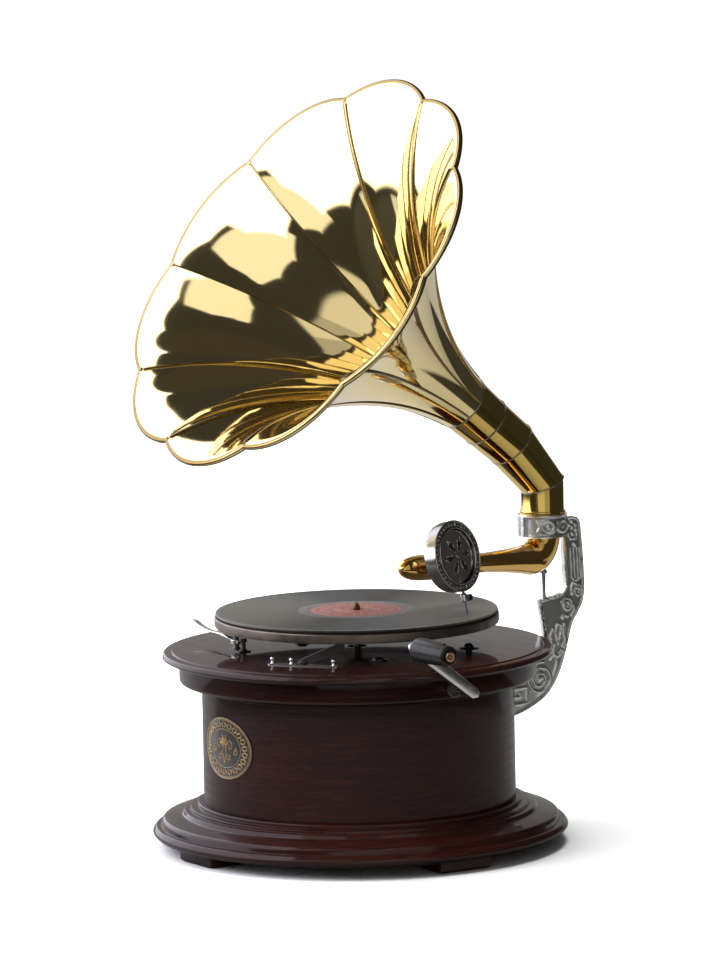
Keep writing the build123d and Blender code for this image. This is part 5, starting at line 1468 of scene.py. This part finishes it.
# Folded seams stand proud of both sides of the sheet and widen towards the mouth
seam_shapes = []
rib_radius = [0.5 + 0.35 * k / ALONG for k in range(ALONG + 1)]
for petal in range(PETALS):
    for lift, first in ((0.45, 2.0), (-0.45 - PETAL_SHEET, 1.0)):
        run_length = BELL_L - 1.2 - first
        line = [petal_point(petal, 0.0, first + run_length * k / ALONG, lift) / MM
                for k in range(ALONG + 1)]
        seam_shapes.append(sweep(line, rib_radius, Matrix.Scale(MM, 4), 10, wide=2.9))
make("horn_seam_ribs", seam_shapes, WIRE_BRASS, "horn", slot="horn_brass")

wrap_shapes = []
wrap_line = rounded([(1.9, -1.9), (3.15, -1.9, 0.5), (2.95, 0, 1.0), (3.15, 1.9, 0.5), (1.9, 1.9)], 3)
wrap_r, wrap_t = wire_centre(0)
for petal in range(PETALS):
    angle = petal_angle(petal, 0)
    around = BELL_PLACE.to_3x3() @ Vector((-sin(angle), cos(angle), 0))
    outwards = BELL_PLACE.to_3x3() @ Vector((cos(angle), sin(angle), 0))
    middle_point = BELL_PLACE @ Vector((wrap_r * cos(angle), wrap_r * sin(angle), wrap_t))
    wrap_shapes.append(lathe(wrap_line, axes(middle_point, outwards.normalized(), around), 28))
make("rim_seam_wraps", wrap_shapes, WIRE_BRASS, "horn", slot="horn_brass")

# ---------------------------------------------------------------- pieces that stay as CAD

SLOT_LOOKS = {
    "case_wood": TURNED_WOOD,
    "plain_wood": PLAIN_WOOD,
    "badge_enamel": BADGE_BLACK,
    "motor_steel": STEEL,
    "spring_steel": BLUED,
    "gear_brass": GEAR_BRASS,
    "nickel": NICKEL,
    "sound_box_plate": CHROME,
    "arm_brass": DARK_BRASS,
    "mica": MICA,
    "black_steel": BLACK_LACQUER,
    "black_moulded": BLACK,
    "rivet_copper": COPPER,
    "felt": FELT,
    "shellac": SHELLAC,
    "cast_silver": CAST_SILVER,
    "horn_brass": HORN_BRASS,
}
for part in frame["record"]["subparts"]:
    node = frame["nodes"].get(part["node"])
    if node and not node.hide_render:
        node.data.materials.clear()
        node.data.materials.append(SLOT_LOOKS[part["material_slot"]])

# ---------------------------------------------------------------- floor, light and camera

CAMERA_SIDE = Vector((cos(CAMERA_TURN), sin(CAMERA_TURN), 0))
CAMERA_RIGHT = Vector((-sin(CAMERA_TURN), cos(CAMERA_TURN), 0))


def smooth(look, value, low, high):
    """0 below low, 1 above high, with a soft step between them."""
    return look.node("ShaderNodeMapRange", set_interpolation_type="SMOOTHSTEP", Value=value,
                     From_Min=low, From_Max=high).outputs[0]


def from_spindle(look):
    """The lit point's place from the spindle, in metres."""
    place = look.node("ShaderNodeNewGeometry").outputs["Position"]
    return look.node("ShaderNodeVectorMath", set_operation="SUBTRACT", in0=place,
                     in1=tuple(SPINDLE)).outputs[0]


def dot(look, a, b):
    """Share of a place that runs along a direction."""
    return look.node("ShaderNodeVectorMath", set_operation="DOT_PRODUCT", in0=a,
                     in1=tuple(b)).outputs["Value"]


def band(look, value, low, high, soft):
    """1 between two values, fading to 0 outside them."""
    rise = smooth(look, value, low - soft, low + soft)
    fall = look.math("SUBTRACT", 1.0, smooth(look, value, high - soft, high + soft))
    return look.math("MULTIPLY", rise, fall)


world = bpy.data.worlds.new("studio")
bpy.context.scene.world = world
world.use_nodes = True
rays = world.node_tree.nodes.new("ShaderNodeLightPath")
seen = world.node_tree.nodes.new("ShaderNodeMix")
seen.data_type = "RGBA"
seen.inputs[6].default_value = (0.055, 0.05, 0.042, 1)
seen.inputs[7].default_value = (1.0, 1.0, 1.0, 1)
world.node_tree.links.new(rays.outputs["Is Camera Ray"], seen.inputs[0])
world.node_tree.links.new(seen.outputs[2], world.node_tree.nodes["Background"].inputs["Color"])

# White panels standing round the machine, which the brass and chrome reflect. Each is a share of
# a round wall: from and to in degrees to the right of the camera, height of the low edge at each
# end, height of the top edge at each end, and brightness.
WALL_R = 2.0
WALL_H = 6.6
WALL_STEPS = 180
WALL_GLOW = 0.045
WHITE = 2.5
PALE = 1.15
DIM = 0.48
PANELS = (
    (-165, -132, 0.1, 0.1, 1.6, 5.4, WHITE),
    (-133, -76, 0.07, 0.1, 5.9, 5.5, WHITE),
    (-77, -51, 0.1, 0.6, 5.5, 2.9, WHITE),
    (-52, -42, 0.6, 0.75, 2.1, 1.8, WHITE),
    (-47, -27, 0.5, 0.9, 3.2, 3.6, PALE),
    (-28, -11, 0.9, 1.9, 3.6, 3.3, PALE),
    (-12, -4, 1.8, 3.1, 3.4, 3.3, PALE),
    (-24, 17, 0.0, 0.0, 0.1, 2.15, 0.8),
    (16, 42, 0.0, 0.0, 2.1, 3.7, DIM),
    (150, 200, -1.0, -1.0, 1.55, 1.55, DIM),
    (-200, -165, -1.0, -1.0, 1.55, 1.55, DIM),
)


def slope(look, value, start, end, at_start, at_end):
    """Straight line through two values at two places."""
    rate = (at_end - at_start) / (end - start)
    return look.math("ADD", look.math("MULTIPLY", value, rate), at_start - rate * start)


wall_look = Look("studio_wall")
math = wall_look.math
wall_place = from_spindle(wall_look)
wall_height = dot(wall_look, wall_place, (0, 0, 1))
turned = math("ARCTAN2", dot(wall_look, wall_place, CAMERA_RIGHT), dot(wall_look, wall_place, CAMERA_SIDE))
ripple = math("MULTIPLY", math("SUBTRACT", wall_look.noise(0.5, detail=0), 0.5), 6.0)
wall_turn = math("ADD", math("MULTIPLY", 180 / pi, turned), ripple)
glow = WALL_GLOW
for start, end, low_start, low_end, top_start, top_end, power in PANELS:
    low_edge = slope(wall_look, wall_turn, start, end, low_start, low_end)
    top_edge = slope(wall_look, wall_turn, start, end, top_start, top_end)
    above = smooth(wall_look, math("SUBTRACT", wall_height, low_edge), -0.05, 0.05)
    below = smooth(wall_look, math("SUBTRACT", top_edge, wall_height), -0.1, 0.1)
    tall = math("MULTIPLY", above, below)
    panel = math("MULTIPLY", band(wall_look, wall_turn, start, end, 0.9), tall)
    glow = math("MAXIMUM", glow, math("MULTIPLY", panel, power))
cool = smooth(wall_look, glow, 1.2, 2.2)
wall_look.set(Base_Color=(0, 0, 0), Specular_IOR_Level=0.0, Emission_Strength=glow,
              Emission_Color=wall_look.mix(cool, (1.0, 0.98, 0.95), (1.0, 1.01, 1.14)))
wall_angles = [TURN * k / WALL_STEPS for k in range(WALL_STEPS)]
wall_points = [SPINDLE + Vector((WALL_R * cos(a), WALL_R * sin(a), z))
               for z in (-0.02, WALL_H) for a in wall_angles]
wall_faces = []
for k in range(WALL_STEPS):
    after = (k + 1) % WALL_STEPS
    wall_faces.append((k, after, WALL_STEPS + after, WALL_STEPS + k))
wall_mesh = bpy.data.meshes.new("studio_wall")
wall_mesh.from_pydata(wall_points, [], wall_faces)
wall_mesh.materials.append(wall_look.material)
wall = bpy.data.objects.new("studio_wall", wall_mesh)
wall.visible_camera = False
wall.visible_shadow = False
bpy.context.scene.collection.objects.link(wall)
wall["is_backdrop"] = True

# The table is pale to the camera all over; in reflections it ends a little way in front
floor_look = Look("pale_floor")
math = floor_look.math
rays = floor_look.node("ShaderNodeLightPath")
floor_place = from_spindle(floor_look)
far_off = floor_look.node("ShaderNodeVectorMath", set_operation="LENGTH", in0=floor_place)
far_off = far_off.outputs["Value"]
ahead = smooth(floor_look, dot(floor_look, floor_place, CAMERA_SIDE), -0.40, -0.30)
beyond = math("MULTIPLY", smooth(floor_look, far_off, 0.60, 0.66), ahead)
mirrored = math("SUBTRACT", 1.0, rays.outputs["Is Camera Ray"])
near = floor_look.mix(rays.outputs["Is Glossy Ray"], (0.18, 0.18, 0.175), (0.38, 0.38, 0.37))
shade = floor_look.mix(beyond, near, (0.03, 0.03, 0.026))
distant = math("MULTIPLY", rays.outputs["Is Camera Ray"], smooth(floor_look, far_off, 0.18, 0.75))
speckle = floor_look.noise(40, detail=3)
paper = floor_look.mix(floor_look.ramp(speckle, (0.3, 0.0), (0.7, 0.02)), (0.93, 0.93, 0.93),
                       (0.88, 0.88, 0.88))
floor_look.set(Base_Color=floor_look.mix(mirrored, paper, shade), Roughness=0.9, Specular_IOR_Level=0.0,
               Normal=floor_look.bump(speckle, 0.00005, 0.2), Emission_Color=(1, 1, 1),
               Emission_Strength=distant)
FLOOR_HALF = 40
floor_corners = [(x * FLOOR_HALF, y * FLOOR_HALF, -0.0006) for x, y in ((-1, -1), (1, -1), (1, 1), (-1, 1))]
floor_mesh = bpy.data.meshes.new("floor")
floor_mesh.from_pydata(floor_corners, [], [(0, 1, 2, 3)])
floor_mesh.materials.append(floor_look.material)
floor = bpy.data.objects.new("floor", floor_mesh)
bpy.context.scene.collection.objects.link(floor)
floor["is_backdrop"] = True


def area_light(name, right, near_camera, up, size, watts):
    """Lamp placed from the spindle in metres and aimed at the middle of the machine."""
    place = SPINDLE + CAMERA_RIGHT * right + CAMERA_SIDE * near_camera + Vector((0, 0, up))
    aim = (cad_low + cad_high) / 2
    light = bpy.data.lights.new(name, "AREA")
    light.shape = "RECTANGLE"
    light.size, light.size_y = size
    light.energy = watts
    made = bpy.data.objects.new(name, light)
    made.location = place
    made.rotation_euler = (aim - place).to_track_quat("-Z", "Y").to_euler()
    made.visible_glossy = False
    made.visible_camera = False
    bpy.context.scene.collection.objects.link(made)
    made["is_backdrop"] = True
    return made


area_light("key_light", -1.8, 0.9, 1.9, (1.4, 1.4), 30)
area_light("top_light", 0, 0, 2.6, (1.6, 1.6), 75)

# This lamp is mirrored by the varnish only, as a line of light along each moulding
sheen = area_light("varnish_light", 0.7, 1.95, 1.6, (1.4, 0.3), 20)
sheen.visible_glossy = True
VARNISHED = (TURNED_WOOD, DRUM_WOOD, BOARD_WOOD)
varnished = bpy.data.collections.new("varnished_wood")
for piece in bpy.data.objects:
    if piece.type == "MESH" and any(m in VARNISHED for m in piece.data.materials):
        varnished.objects.link(piece)
sheen.light_linking.receiver_collection = varnished

camera_data = bpy.data.cameras.new("camera")
camera_data.sensor_width = 36
camera_data.lens = 274.5
camera_data.shift_x = 0.00625
camera = bpy.data.objects.new("camera", camera_data)
DISTANCE = 6.5
CAMERA_H = 1.19
PITCH = radians(7.54)
ROLL = radians(-1.1)
forward = (-CAMERA_SIDE * cos(PITCH) - Vector((0, 0, sin(PITCH)))).normalized()
up = CAMERA_RIGHT.cross(forward)
right_axis = CAMERA_RIGHT * cos(ROLL) + up * sin(ROLL)
up_axis = -CAMERA_RIGHT * sin(ROLL) + up * cos(ROLL)
turned = Matrix((right_axis, up_axis, -forward)).transposed().to_4x4()
camera_spot = SPINDLE + CAMERA_SIDE * DISTANCE + Vector((0, 0, CAMERA_H))
camera.matrix_world = Matrix.Translation(camera_spot) @ turned
bpy.context.scene.collection.objects.link(camera)
bpy.context.scene.camera = camera
bpy.context.scene.view_settings.view_transform = "Standard"

low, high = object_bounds()
